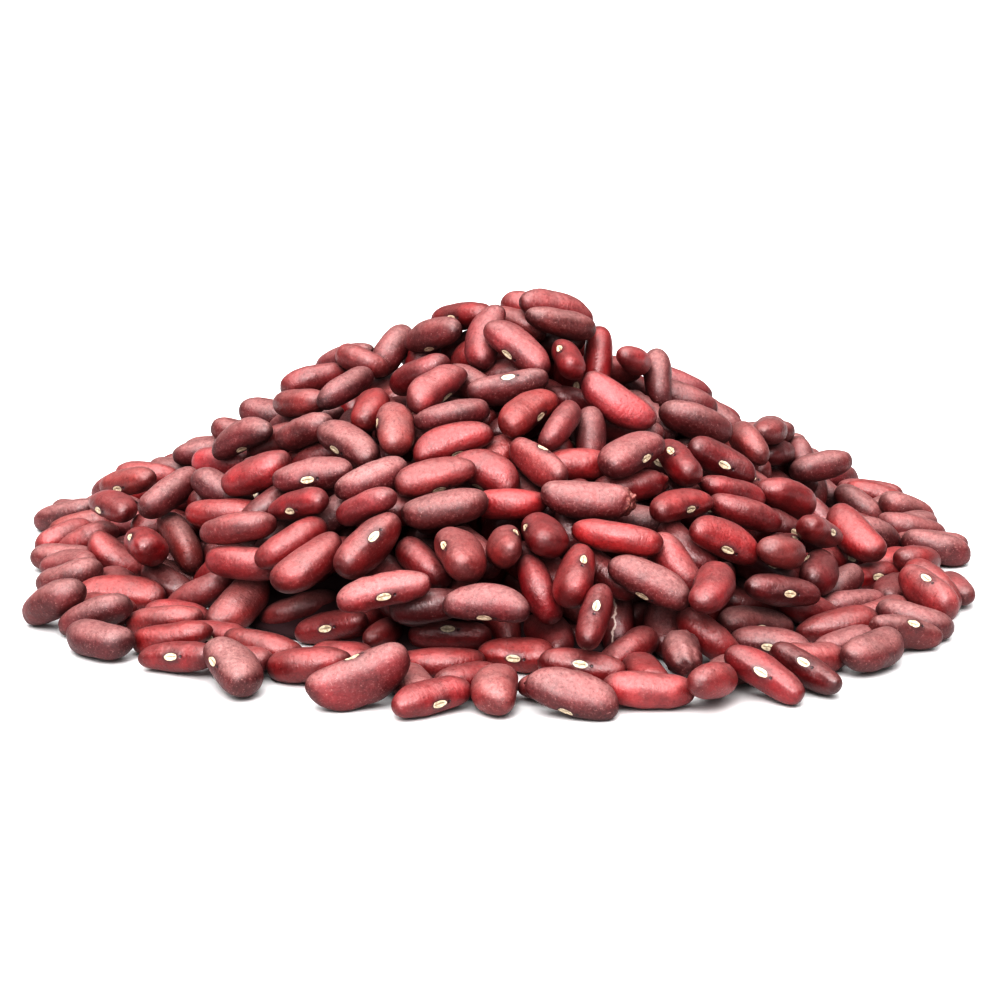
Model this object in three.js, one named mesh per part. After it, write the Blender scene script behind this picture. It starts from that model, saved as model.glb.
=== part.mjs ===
// A loose heap of dried dark red kidney beans, poured out on a flat surface.
//
// The heap is one closed solid out to its uneven outline: a low cone at the
// beans' angle of repose, with its top a little to the right of the middle, a
// right flank that is slightly hollow and a left one slightly full, a scalloped
// foot one bean high, and a flat underside that it rests on. Bean-sized bumps
// lie over the whole surface, each a kidney-like ellipsoid laid along the slope.
//
// Frame: millimetres, +Z up, origin at the middle of the underside, front of
// the heap towards -Y.
import * as THREE from "three";

// ---- beans ------------------------------------------------------------------
const BEAN_LENGTH = 16.5; // along the seed
const BEAN_WIDTH = 8.6; // from the eye side to the back
const BEAN_THICKNESS = 6.9; // across the two broad faces
const BLUNT_ENDS = 2.8; // 2 is an ellipse; more makes the ends blunter

// ---- heap -------------------------------------------------------------------
const FOOT_RADIUS = 102.7; // mean radius of the footprint, to the beans' widest part
const HEAP_HEIGHT = 60; // highest bean above the surface
const TOP_OFFSET_X = 5; // the top stands right of the middle
const TOP_OFFSET_Y = -1;
const TOP_FLAT = 7; // radius over which the cone's tip is rounded off
const FOOT_HEIGHT = 3.2; // core height at the foot
const FLANK_BOW = -0.035; // how far the flanks bow out, as a share of the height
const RIGHT_HOLLOW = 0.06; // how much the right flank hollows and the left one fills

// Broad lobes of the footprint: [waves round the foot, amplitude, phase in degrees]
const LOBES = [
  [1, 0.5, 45],
  [2, 2.0, -130],
  [3, 2.0, 102],
  [5, 1.5, 94],
];
const FOOT_BEANS = 46; // beans round the foot
const SCALLOP = 2.6; // how far a foot bean stands out past the notch beside it
const FOOT_TUCK = 1.4; // the foot draws in under the beans' widest part
const FOOT_WIDEST = 3.2; // height of the beans' widest part at the foot

// ---- surface relief ---------------------------------------------------------
const BUMP_SPACING_AREA = 150; // mm2 of plan for each bump
const BUMP_SINK = 0.4; // how deep each bean's middle lies below the loose surface
const BUMP_SPREAD = 2.4; // how far the beans' heights scatter about that surface
const CORE_DROP = 4.2; // the surface between the beans lies this far below them
const RINGS = 39; // rings of the surface grid, each with six more points than the last

const rad = THREE.MathUtils.degToRad;

// A repeatable number from 0 to 1 for bean number n and use k.
function scatter(n, k) {
  const s = Math.sin(n * 127.1 + k * 311.7) * 43758.5453;
  return s - Math.floor(s);
}

// Radius of the footprint at angle a, scallops and all.
function footRadius(a) {
  let r = FOOT_RADIUS;
  for (const [waves, size, phase] of LOBES)
    r += size * Math.cos(waves * a - rad(phase));
  const bean = (a / (2 * Math.PI)) * FOOT_BEANS;
  const n = Math.floor(bean);
  const across = bean - n - 0.5;
  const out = 0.55 + 0.45 * scatter(((n % FOOT_BEANS) + FOOT_BEANS) % FOOT_BEANS, 1);
  return r - SCALLOP * out * 4 * across * across;
}

// Where a ring at share q of the way out from the top lies, at angle a.
function ringPoint(q, a) {
  const r = footRadius(a) * q;
  return [
    TOP_OFFSET_X * (1 - q) + r * Math.cos(a),
    TOP_OFFSET_Y * (1 - q) + r * Math.sin(a),
  ];
}

// Share of the way out from the top at a point of the plan.
function shareOut(x, y) {
  let q = Math.hypot(x, y) / FOOT_RADIUS;
  for (let i = 0; i < 4; i++) {
    const px = x - TOP_OFFSET_X * (1 - q);
    const py = y - TOP_OFFSET_Y * (1 - q);
    q = Math.hypot(px, py) / footRadius(Math.atan2(py, px));
  }
  return q;
}

// Height of the surface between the beans: a cone with a rounded tip, hollow to
// the right and full to the left.
function coreHeight(x, y) {
  const q = Math.min(1, shareOut(x, y));
  const right = x / Math.max(1, Math.hypot(x, y));
  const blunt = TOP_FLAT / FOOT_RADIUS;
  const distance = Math.sqrt(q * q + blunt * blunt) - blunt;
  const foot = Math.sqrt(1 + blunt * blunt) - blunt;
  const share = 1 - distance / foot;
  const bow = (FLANK_BOW - RIGHT_HOLLOW * right) * 4 * share * (1 - share);
  const peak = HEAP_HEIGHT - CORE_DROP - FOOT_HEIGHT;
  return FOOT_HEIGHT + peak * (share + bow);
}

// Beans over the surface, set out on a sunflower spiral, each with its own
// direction and size. The slope under a bean tilts it.
function surfaceBeans() {
  const reach = FOOT_RADIUS - BEAN_THICKNESS * 0.5;
  const count = Math.round((Math.PI * reach * reach) / BUMP_SPACING_AREA);
  const golden = Math.PI * (3 - Math.sqrt(5));
  const beans = [];
  for (let n = 0; n < count; n++) {
    const q = Math.sqrt((n + 0.5) / count);
    const a = n * golden;
    const size = 0.88 + 0.26 * scatter(n, 2);
    const [px, py] = ringPoint(q * 0.955, a);
    const x = px + (scatter(n, 3) - 0.5) * 3;
    const y = py + (scatter(n, 4) - 0.5) * 3;
    const step = 2;
    const slopeX = (coreHeight(x + step, y) - coreHeight(x - step, y)) / (2 * step);
    const slopeY = (coreHeight(x, y + step) - coreHeight(x, y - step)) / (2 * step);
    const onEdge = scatter(n, 5) < 0.4;
    const wide = onEdge ? BEAN_THICKNESS : BEAN_WIDTH;
    const high = onEdge ? BEAN_WIDTH : BEAN_THICKNESS;
    beans.push({
      x,
      y,
      turn: scatter(n, 6) * Math.PI,
      halfLong: (size * BEAN_LENGTH) / 2,
      halfWide: (size * wide) / 2,
      halfHigh: (size * high) / 2,
      z: Math.max(
        (size * high) / 2,
        coreHeight(x, y) - BUMP_SINK + (scatter(n, 7) - 0.5) * BUMP_SPREAD,
      ),
      slopeX,
      slopeY,
    });
  }
  return beans;
}

const BEANS = surfaceBeans();

// Height of the heap with its beans at a point of the plan.
function heapHeight(x, y) {
  let z = coreHeight(x, y);
  for (const b of BEANS) {
    const dx = x - b.x;
    const dy = y - b.y;
    if (dx * dx + dy * dy > b.halfLong * b.halfLong) continue;
    const along = (dx * Math.cos(b.turn) + dy * Math.sin(b.turn)) / b.halfLong;
    const across = (-dx * Math.sin(b.turn) + dy * Math.cos(b.turn)) / b.halfWide;
    const inside = 1 - Math.abs(along) ** BLUNT_ENDS - across * across;
    if (inside <= 0) continue;
    const top =
      b.z + b.slopeX * dx + b.slopeY * dy + b.halfHigh * Math.sqrt(inside);
    if (top > z) z = top;
  }
  return Math.min(z, HEAP_HEIGHT);
}

// ---- one closed surface -----------------------------------------------------
// The top is a disc of rings, ring j with 6 j points. Below it the foot draws in
// to the underside, which is a fan round its middle.
function heapGeometry() {
  const points = [];
  const ringStart = [];
  for (let j = 0; j <= RINGS; j++) {
    ringStart.push(points.length);
    const n = Math.max(1, 6 * j);
    for (let k = 0; k < n; k++) {
      const a = (2 * Math.PI * k) / n;
      const [x, y] = ringPoint(j / RINGS, a);
      const z = j === RINGS ? FOOT_WIDEST : Math.max(FOOT_WIDEST + 0.6, heapHeight(x, y));
      points.push([x, y, z]);
    }
  }
  const rim = 6 * RINGS;
  const footStart = points.length;
  for (let k = 0; k < rim; k++) {
    const a = (2 * Math.PI * k) / rim;
    const r = footRadius(a) - FOOT_TUCK;
    points.push([r * Math.cos(a), r * Math.sin(a), 0]);
  }
  const middle = points.length;
  points.push([0, 0, 0]);

  const faces = [];
  for (let j = 0; j < RINGS; j++) {
    const inner = (s, k) => ringStart[j] + (j === 0 ? 0 : (s * j + k) % (6 * j));
    const outer = (s, k) => ringStart[j + 1] + ((s * (j + 1) + k) % (6 * (j + 1)));
    for (let s = 0; s < 6; s++) {
      for (let k = 0; k <= j; k++) faces.push([inner(s, k), outer(s, k), outer(s, k + 1)]);
      for (let k = 0; k < j; k++) faces.push([inner(s, k), outer(s, k + 1), inner(s, k + 1)]);
    }
  }
  for (let k = 0; k < rim; k++) {
    const next = (k + 1) % rim;
    const a = ringStart[RINGS] + k;
    const b = ringStart[RINGS] + next;
    const c = footStart + k;
    const d = footStart + next;
    faces.push([a, c, b], [b, c, d], [c, middle, d]);
  }

  const geometry = new THREE.BufferGeometry();
  geometry.setAttribute(
    "position",
    new THREE.Float32BufferAttribute(points.flat(), 3),
  );
  geometry.setIndex(faces.flat());
  geometry.computeBoundingBox();
  const centre = geometry.boundingBox.getCenter(new THREE.Vector3());
  geometry.translate(-centre.x, -centre.y, 0);
  geometry.computeVertexNormals();
  return geometry;
}

const beanHeap = new THREE.Mesh(
  heapGeometry(),
  new THREE.MeshStandardMaterial({ color: 0x7a2529, roughness: 0.42, metalness: 0 }),
);
beanHeap.name = "bean_heap";

const group = new THREE.Group();
group.add(beanHeap);

export default group;
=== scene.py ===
# A loose heap of dried dark red kidney beans on a pale floor.
#
# The heap is a few hundred separate beans over a low dark core. Every bean is a
# closed mesh at true size, made by bean_points() and bean_faces() from its own
# length, width, thickness and bend, and set down at its place in the heap. Beans
# of one kind (bright, dark, rosy, dusty) are joined into one piece, in two halves.
# The low dark core stands in for shadow: its near-black colour is painted shade seen through the gaps between the
# beans.
import math

import bpy
import numpy as np
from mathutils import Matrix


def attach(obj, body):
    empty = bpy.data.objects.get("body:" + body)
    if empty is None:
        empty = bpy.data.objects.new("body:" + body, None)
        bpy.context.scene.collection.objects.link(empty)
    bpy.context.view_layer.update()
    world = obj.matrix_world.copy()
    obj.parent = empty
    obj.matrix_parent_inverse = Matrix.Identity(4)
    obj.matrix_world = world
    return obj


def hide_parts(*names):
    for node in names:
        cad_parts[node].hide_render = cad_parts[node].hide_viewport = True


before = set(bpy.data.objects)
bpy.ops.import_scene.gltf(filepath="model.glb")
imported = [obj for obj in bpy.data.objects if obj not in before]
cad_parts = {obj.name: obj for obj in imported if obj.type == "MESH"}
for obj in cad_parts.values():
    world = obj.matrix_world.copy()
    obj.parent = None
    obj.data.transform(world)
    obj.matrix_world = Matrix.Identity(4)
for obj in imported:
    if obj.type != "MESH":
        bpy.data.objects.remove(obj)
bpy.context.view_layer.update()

MM = 0.001
# the heap's own middle, from which the places below are measured, in the frame
MIDDLE = (0.40, 0.12)

# ---------------------------------------------------------------------------
# The beans. One row each: place of its middle (mm), turn (quaternion w x y z),
# length, width, thickness (mm), bend, kind, mesh level, marks.
# Kinds: 1 dark, 2 deep red, 3 bright red, 4 rosy, 5 dusty brown.
# Marks: d dusty, w wrinkled, r rough, c chipped end, f frayed end, s pale streak,
# t dirt.
BEANS = [
    (11.56, 4.00, 54.62, 0.9011, 0.3439, 0.2268, 0.1356, 17.1, 7.35, 5.90, 0.29, 4, 2, ""),
    (12.82, -2.55, 52.59, 0.0584, 0.9509, 0.2740, -0.1312, 16.8, 7.28, 5.84, 0.22, 5, 2, ""),
    (7.39, 11.86, 52.40, 0.2481, 0.9390, 0.1642, -0.1725, 14.6, 7.82, 6.45, 0.31, 4, 1, ""),
    (3.90, -13.61, 49.58, 0.9108, 0.1982, 0.1999, -0.3020, 16.8, 8.00, 6.42, 0.29, 4, 3, ""),
    (-7.74, 6.36, 52.40, 0.9234, -0.0328, -0.0896, -0.3717, 16.3, 7.15, 5.74, 0.21, 2, 2, ""),
    (-13.88, 3.58, 49.12, 0.8420, 0.3682, -0.2955, -0.2611, 16.2, 7.13, 5.72, 0.19, 5, 3, ""),
    (-22.78, 12.35, 44.10, 0.1988, 0.8389, 0.2917, 0.4144, 14.4, 7.48, 6.70, 0.39, 5, 2, ""),
    (-7.20, 8.40, 45.20, 0.1159, 0.9021, -0.3410, 0.2378, 14.5, 7.46, 6.72, 0.28, 1, 1, ""),
    (-3.30, -6.12, 50.15, 0.3692, -0.4856, 0.7870, 0.0930, 15.6, 7.69, 6.38, 0.36, 4, 2, ""),
    (2.69, 5.42, 51.08, 0.2630, 0.9098, -0.2808, -0.1558, 15.7, 7.60, 6.09, 0.23, 4, 1, ""),
    (1.55, -8.51, 43.09, 0.0350, 0.9790, -0.1659, 0.1134, 15.9, 7.98, 6.38, 0.30, 4, 1, ""),
    (-16.86, -11.79, 43.40, 0.0106, 0.9198, -0.3082, 0.2427, 15.6, 7.83, 6.28, 0.36, 2, 2, ""),
    (-12.91, -22.24, 43.23, 0.8563, 0.3108, -0.0399, 0.4105, 15.9, 7.57, 6.07, 0.40, 4, 3, ""),
    (-20.47, -31.20, 36.60, 0.7099, -0.0269, 0.2409, -0.6613, 16.5, 7.84, 6.29, 0.12, 4, 3, "d"),
    (-9.24, -30.28, 39.26, 0.1310, 0.9784, 0.1312, 0.0916, 15.4, 6.95, 5.60, 0.32, 5, 2, ""),
    (1.59, -22.94, 43.17, 0.8923, -0.4347, -0.1108, 0.0497, 16.5, 7.21, 5.78, 0.20, 5, 3, ""),
    (4.79, -31.05, 40.00, 0.8818, 0.1105, -0.0883, 0.4500, 16.0, 8.00, 6.42, 0.34, 3, 3, ""),
    (12.17, -33.46, 38.27, 0.2456, 0.7833, 0.4738, 0.3189, 16.0, 7.06, 5.66, 0.39, 4, 2, ""),
    (13.86, -15.18, 47.11, 0.6624, -0.3152, 0.3125, -0.6035, 16.8, 7.27, 5.83, 0.30, 3, 3, ""),
    (-9.45, -36.28, 35.44, 0.9247, 0.3341, -0.0938, 0.1565, 16.5, 7.19, 5.77, 0.35, 3, 3, ""),
    (-4.98, -14.31, 41.51, 0.2547, 0.9007, -0.2638, -0.2332, 16.0, 7.86, 6.74, 0.29, 5, 1, ""),
    (-14.81, 18.54, 40.86, 0.1547, -0.9687, 0.1909, -0.0357, 14.8, 7.87, 6.36, 0.30, 1, 1, ""),
    (15.92, -11.23, 37.48, 0.1863, 0.9532, 0.1776, -0.1589, 15.1, 7.90, 6.16, 0.24, 2, 1, ""),
    (20.39, 4.95, 43.21, 0.2356, 0.6446, -0.2102, -0.6963, 16.0, 8.17, 6.08, 0.12, 3, 2, ""),
    (27.85, 2.56, 43.79, 0.0761, -0.7801, -0.5727, 0.2403, 15.8, 7.01, 5.62, 0.30, 4, 2, ""),
    (33.37, 8.73, 38.61, 0.2276, 0.6908, -0.2934, -0.6204, 15.3, 7.60, 6.05, 0.25, 5, 2, ""),
    (38.26, 20.91, 34.91, 0.1165, 0.9702, -0.0110, -0.2121, 16.1, 7.75, 6.10, 0.35, 4, 2, ""),
    (39.18, 13.87, 33.03, 0.1323, 0.9747, 0.0416, -0.1754, 15.7, 7.53, 6.68, 0.33, 5, 2, ""),
    (46.89, 24.00, 27.13, 0.1469, 0.9171, -0.2600, -0.2642, 14.8, 7.37, 6.14, 0.21, 5, 2, ""),
    (40.68, -6.72, 32.69, 0.2065, 0.9441, 0.1938, -0.1687, 16.9, 8.63, 6.92, 0.29, 5, 2, ""),
    (46.54, 33.66, 25.75, 0.0073, 0.9775, 0.0933, -0.1892, 15.1, 7.79, 6.68, 0.19, 4, 1, ""),
    (52.01, 4.15, 26.04, 0.3059, 0.7170, -0.5407, -0.3163, 16.2, 8.10, 6.50, 0.27, 4, 2, ""),
    (58.12, 18.08, 25.35, 0.0046, 0.7768, 0.6243, -0.0830, 17.6, 7.48, 6.00, 0.26, 4, 2, ""),
    (58.02, 30.55, 21.88, 0.0700, 0.9748, 0.2118, 0.0029, 15.8, 7.66, 6.00, 0.33, 5, 2, ""),
    (60.19, 22.77, 19.31, 0.0174, 0.8337, 0.5459, -0.0817, 16.0, 7.07, 5.67, 0.19, 1, 2, ""),
    (29.43, 21.28, 33.66, 0.0616, 0.9466, 0.0780, -0.3068, 14.7, 8.30, 6.34, 0.29, 4, 1, ""),
    (23.31, -21.01, 39.58, 0.3897, -0.8768, 0.1991, 0.1992, 17.2, 7.82, 6.28, 0.34, 4, 3, ""),
    (23.45, 13.01, 39.76, 0.0640, 0.9766, 0.1944, -0.0657, 15.7, 7.39, 6.01, 0.33, 4, 2, ""),
    (31.47, 0.15, 31.75, 0.8251, -0.3117, 0.3520, -0.3132, 16.0, 7.90, 6.22, 0.35, 5, 1, "r"),
    (17.85, -28.05, 33.62, 0.1074, 0.7029, -0.3412, -0.6148, 15.0, 7.42, 6.12, 0.21, 5, 2, ""),
    (-12.39, -47.55, 31.20, 0.9315, 0.3414, -0.0699, 0.1046, 15.9, 7.03, 5.64, 0.16, 4, 3, ""),
    (-2.46, -42.21, 30.80, 0.8731, 0.4289, 0.0637, -0.2229, 14.4, 8.14, 6.34, 0.41, 3, 2, ""),
    (-10.24, -56.49, 26.98, 0.0072, -0.9952, -0.0471, -0.0860, 16.8, 8.45, 6.78, 0.12, 5, 2, ""),
    (1.97, -50.48, 26.38, 0.1252, 0.9920, 0.0175, -0.0011, 14.6, 8.05, 6.13, 0.25, 3, 2, ""),
    (7.18, -42.87, 32.20, 0.6084, -0.6560, 0.4052, -0.1878, 16.2, 7.12, 5.71, 0.25, 4, 3, ""),
    (14.62, -37.71, 30.88, 0.1300, 0.9908, 0.0298, 0.0204, 14.5, 7.91, 6.67, 0.28, 3, 2, ""),
    (16.93, -53.70, 27.76, 0.3703, -0.9277, 0.0199, 0.0433, 18.5, 7.71, 6.19, 0.27, 5, 3, "f"),
    (8.42, -62.79, 23.25, 0.7152, -0.1724, 0.1356, -0.6637, 16.3, 8.60, 6.90, 0.32, 3, 3, ""),
    (0.84, -64.93, 21.54, 0.3053, -0.6601, 0.5945, -0.3429, 16.2, 7.56, 6.06, 0.30, 4, 3, ""),
    (-6.80, -67.40, 20.47, 0.7616, -0.1931, 0.2376, -0.5711, 16.1, 9.58, 7.69, 0.34, 4, 3, ""),
    (-14.58, -60.92, 17.81, 0.1840, 0.8635, -0.3868, -0.2662, 14.4, 8.11, 6.13, 0.23, 2, 2, ""),
    (6.98, -68.35, 15.06, 0.1420, 0.8105, -0.2877, -0.4901, 14.6, 7.35, 6.21, 0.31, 2, 2, ""),
    (13.75, -70.38, 17.48, 0.4504, -0.4729, 0.6849, -0.3233, 16.0, 8.66, 6.95, 0.20, 3, 3, ""),
    (18.85, -60.46, 16.01, 0.1880, 0.9158, -0.2303, -0.2701, 15.8, 7.81, 6.64, 0.33, 2, 1, ""),
    (27.75, -68.01, 16.01, 0.9016, 0.3623, 0.1343, -0.1944, 16.7, 7.44, 5.97, 0.16, 5, 3, ""),
    (21.71, -62.82, 23.07, 0.1300, 0.9864, -0.0541, -0.0851, 17.5, 7.47, 5.99, 0.22, 3, 2, ""),
    (25.10, -40.62, 33.82, 0.9153, 0.0609, -0.0743, 0.3913, 16.2, 8.65, 6.94, 0.24, 5, 3, ""),
    (35.39, -34.01, 30.22, 0.7376, -0.3066, 0.3224, -0.5079, 16.0, 7.99, 6.41, 0.28, 2, 3, ""),
    (43.90, -20.48, 27.95, 0.9591, -0.0036, 0.2549, 0.1230, 15.7, 8.59, 6.89, 0.46, 2, 3, ""),
    (30.88, -23.04, 27.39, 0.9570, -0.1995, 0.1958, 0.0778, 14.8, 7.64, 6.18, 0.39, 5, 1, ""),
    (25.80, -39.45, 27.11, 0.0891, 0.9795, 0.1763, 0.0402, 16.3, 8.24, 6.25, 0.23, 3, 2, "c"),
    (33.70, -29.86, 23.93, 0.0858, 0.9736, 0.1507, -0.1483, 15.2, 7.64, 6.56, 0.23, 1, 1, ""),
    (33.93, -49.17, 25.79, 0.9267, 0.0282, 0.0309, 0.3735, 16.0, 7.26, 5.82, 0.36, 3, 3, ""),
    (46.14, -29.87, 23.56, 0.0959, 0.9473, 0.2544, -0.1692, 16.1, 7.11, 5.70, 0.28, 3, 2, ""),
    (48.13, -40.56, 21.94, 0.0778, 0.9686, 0.1561, -0.1770, 16.2, 7.11, 5.71, 0.35, 3, 2, ""),
    (42.05, -54.78, 20.76, 0.9426, 0.1547, 0.2599, 0.1414, 15.6, 8.29, 6.65, 0.35, 3, 3, ""),
    (35.23, -52.53, 17.55, 0.3698, -0.8537, 0.3239, 0.1717, 14.5, 7.40, 6.29, 0.35, 1, 2, ""),
    (33.08, -60.13, 16.79, 0.0958, 0.8841, -0.2270, -0.3970, 14.9, 8.15, 6.56, 0.21, 4, 2, ""),
    (39.20, -69.80, 15.21, 0.6028, 0.0594, 0.0859, -0.7910, 15.8, 7.98, 6.40, 0.25, 3, 3, ""),
    (50.46, -45.12, 12.49, 0.9078, -0.2555, 0.2454, 0.2244, 15.5, 7.97, 6.52, 0.41, 1, 1, ""),
    (47.26, -43.44, 4.51, 0.1606, 0.9727, 0.0322, -0.1645, 15.9, 8.23, 6.10, 0.33, 3, 2, ""),
    (61.00, 64.22, 4.77, 0.0579, 0.9455, 0.2382, -0.2145, 15.6, 7.47, 6.33, 0.33, 5, 1, ""),
    (27.23, -44.48, 21.29, 0.1390, 0.9848, 0.0506, -0.0912, 15.9, 8.20, 6.57, 0.31, 5, 1, ""),
    (66.61, 30.61, 15.16, 0.2414, 0.7145, -0.2922, -0.5880, 14.5, 7.68, 6.11, 0.31, 5, 2, ""),
    (69.46, 36.18, 10.58, 0.0416, 0.6907, -0.5311, -0.4890, 16.3, 7.47, 6.17, 0.28, 5, 1, ""),
    (61.39, 41.86, 15.99, 0.0511, -0.9563, 0.2506, -0.1418, 15.1, 7.39, 6.65, 0.46, 5, 1, ""),
    (70.32, 23.35, 16.42, 0.1050, 0.9666, 0.2201, 0.0791, 15.6, 7.49, 6.37, 0.17, 5, 2, ""),
    (78.24, 60.19, 4.56, 0.3009, 0.8526, 0.4266, 0.0238, 16.1, 8.47, 6.79, 0.43, 5, 2, ""),
    (58.18, -20.58, 20.28, 0.3064, 0.8570, 0.3951, -0.1252, 15.7, 8.30, 6.66, 0.33, 3, 2, ""),
    (73.76, 41.01, 5.30, 0.0726, 0.9450, -0.1151, -0.2974, 14.5, 7.92, 6.16, 0.37, 5, 2, ""),
    (71.84, -17.13, 11.72, 0.2944, -0.8045, 0.5105, 0.0745, 16.5, 8.23, 6.61, 0.27, 3, 3, ""),
    (79.97, 31.85, 5.08, 0.1294, 0.9187, -0.2413, -0.2848, 14.5, 7.45, 6.41, 0.36, 5, 2, ""),
    (84.37, 51.10, 3.25, 0.0042, 0.9768, -0.2140, -0.0102, 15.6, 7.65, 6.48, 0.42, 4, 2, ""),
    (84.95, 44.57, 4.15, 0.2367, 0.9623, -0.0130, -0.1330, 15.1, 7.46, 6.23, 0.30, 3, 2, ""),
    (87.66, 38.33, 3.17, 0.0233, 0.8590, 0.5102, -0.0351, 15.2, 8.21, 6.07, 0.26, 5, 2, ""),
    (90.40, 30.37, 4.57, 0.0003, -0.9610, -0.1783, 0.2112, 14.6, 7.88, 6.73, 0.12, 5, 2, ""),
    (90.13, 22.99, 3.11, 0.0260, 0.9427, 0.3319, -0.0228, 16.2, 8.01, 6.03, 0.39, 5, 2, ""),
    (89.45, 14.67, 4.20, 0.0818, 0.9818, 0.1182, -0.1244, 16.3, 8.20, 6.58, 0.44, 5, 2, ""),
    (91.51, 6.79, 3.05, 0.0071, 0.9922, -0.1244, -0.0052, 16.0, 7.99, 6.09, 0.46, 5, 2, ""),
    (92.06, 0.31, 4.05, 0.0945, 0.9880, -0.0040, -0.1219, 15.3, 7.38, 6.60, 0.36, 5, 2, ""),
    (79.57, 2.58, 5.75, 0.2662, 0.8859, 0.3271, -0.1934, 15.8, 8.11, 6.57, 0.43, 5, 2, ""),
    (86.47, -13.23, 4.97, 0.0802, 0.8573, 0.4965, -0.1100, 16.5, 7.63, 6.12, 0.40, 3, 2, "f"),
    (91.06, -26.19, 2.86, 0.0179, 0.7377, -0.6748, -0.0018, 15.8, 7.02, 5.63, 0.30, 4, 3, ""),
    (74.83, -18.52, 2.94, 0.9458, -0.1174, -0.0226, 0.3020, 16.4, 7.17, 5.75, 0.39, 2, 3, ""),
    (52.99, -56.85, 11.11, 0.9698, -0.0558, 0.1037, 0.2137, 16.3, 7.39, 5.93, 0.25, 1, 3, ""),
    (54.00, -52.16, 17.26, 0.0408, 0.8309, 0.5343, -0.1499, 16.5, 8.04, 6.45, 0.39, 4, 2, ""),
    (62.61, -33.03, 16.48, 0.8443, -0.1102, 0.1556, 0.5008, 16.5, 7.19, 5.77, 0.37, 3, 3, ""),
    (58.05, -24.74, 14.04, 0.9531, -0.1297, 0.2553, 0.0982, 14.9, 8.10, 6.18, 0.27, 1, 1, ""),
    (64.60, -17.91, 4.65, 0.2377, 0.9339, 0.1587, 0.2149, 14.7, 7.71, 6.37, 0.37, 2, 1, ""),
    (67.00, -31.29, 4.50, 0.1308, 0.9269, 0.2797, 0.2131, 14.9, 7.92, 6.45, 0.35, 5, 1, ""),
    (62.76, -10.59, 4.02, 0.9744, -0.0339, 0.1517, 0.1624, 14.9, 7.93, 6.26, 0.26, 2, 1, ""),
    (69.76, -38.95, 3.16, 0.0994, 0.9490, 0.2990, -0.0100, 16.3, 7.39, 5.93, 0.36, 5, 2, ""),
    (83.76, -41.49, 5.65, 0.7520, -0.4180, 0.3714, -0.3492, 15.8, 9.33, 7.48, 0.30, 4, 3, ""),
    (85.98, -32.17, 5.24, 0.4327, 0.7561, -0.2781, -0.4046, 15.8, 7.61, 6.60, 0.21, 3, 2, ""),
    (-48.77, 15.05, 29.57, 0.0370, -0.9922, 0.1153, 0.0309, 15.2, 7.87, 6.50, 0.29, 5, 2, ""),
    (-55.37, 18.46, 24.08, 0.0023, -0.9789, 0.1646, 0.1214, 15.4, 7.58, 6.74, 0.23, 5, 2, ""),
    (-52.58, -10.04, 30.61, 0.8710, 0.3587, -0.3062, -0.1376, 15.8, 7.03, 5.64, 0.38, 5, 3, ""),
    (-41.11, -6.86, 36.84, 0.0312, 0.8973, -0.4297, 0.0958, 16.1, 7.45, 5.98, 0.20, 4, 2, ""),
    (-25.80, -18.88, 38.13, 0.6448, 0.2094, -0.1405, -0.7216, 15.6, 8.15, 6.54, 0.26, 3, 2, ""),
    (-40.71, -0.07, 31.40, 0.0513, 0.9802, -0.1452, 0.1247, 17.0, 7.34, 5.89, 0.35, 5, 2, ""),
    (-39.69, -19.26, 33.43, 0.0163, 0.9147, -0.3452, 0.2094, 15.9, 7.71, 6.19, 0.15, 5, 2, "w"),
    (-29.39, -30.89, 33.69, 0.8890, 0.1479, 0.0687, -0.4279, 16.6, 7.85, 6.30, 0.24, 5, 3, ""),
    (-57.80, -2.83, 23.31, 0.0822, 0.9754, -0.2029, 0.0237, 14.6, 7.65, 6.41, 0.26, 4, 2, ""),
    (-48.33, -31.04, 27.39, 0.1376, -0.9485, 0.1525, -0.2411, 16.1, 8.43, 6.76, 0.35, 3, 2, ""),
    (-45.83, -7.57, 28.77, 0.0822, 0.9658, -0.1466, 0.1975, 14.4, 7.48, 6.60, 0.24, 4, 2, ""),
    (-36.10, -39.64, 29.47, 0.9874, 0.0062, -0.0992, -0.1228, 16.4, 7.86, 6.31, 0.18, 5, 3, ""),
    (-35.04, -19.67, 28.22, 0.2941, 0.9233, -0.1733, 0.1763, 15.9, 7.95, 6.68, 0.20, 2, 1, ""),
    (-24.29, -45.36, 29.95, 0.0037, 0.9609, 0.2468, 0.1252, 15.5, 8.10, 6.50, 0.38, 5, 2, "d"),
    (-25.85, -54.03, 26.61, 0.0964, 0.9066, -0.3505, 0.2142, 15.4, 6.95, 5.60, 0.36, 4, 2, ""),
    (-32.55, -43.11, 22.04, 0.0265, 0.9613, 0.0607, 0.2675, 15.9, 7.62, 6.48, 0.22, 5, 2, ""),
    (-38.21, -46.03, 25.24, 0.9205, 0.0658, -0.1945, -0.3325, 15.9, 7.03, 5.64, 0.40, 3, 3, ""),
    (-44.63, -36.40, 22.57, 0.2015, 0.8927, 0.3093, 0.2585, 15.1, 8.06, 6.28, 0.40, 1, 2, ""),
    (-56.28, -22.36, 22.32, 0.0333, 0.9493, -0.2520, -0.1849, 14.7, 8.18, 6.52, 0.29, 5, 2, ""),
    (-50.88, -46.20, 20.41, 0.1091, 0.9758, -0.1640, 0.0947, 16.4, 7.17, 5.75, 0.42, 4, 2, ""),
    (-39.33, -53.29, 19.47, 0.1438, 0.9421, 0.1972, 0.2299, 15.8, 7.87, 6.59, 0.25, 3, 2, ""),
    (-63.66, 23.42, 19.60, 0.0541, 0.9952, 0.0096, 0.0811, 15.3, 7.88, 6.03, 0.14, 5, 2, ""),
    (-62.33, 31.12, 18.06, 0.0866, 0.9940, -0.0648, -0.0134, 15.5, 8.12, 6.53, 0.21, 5, 1, ""),
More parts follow.
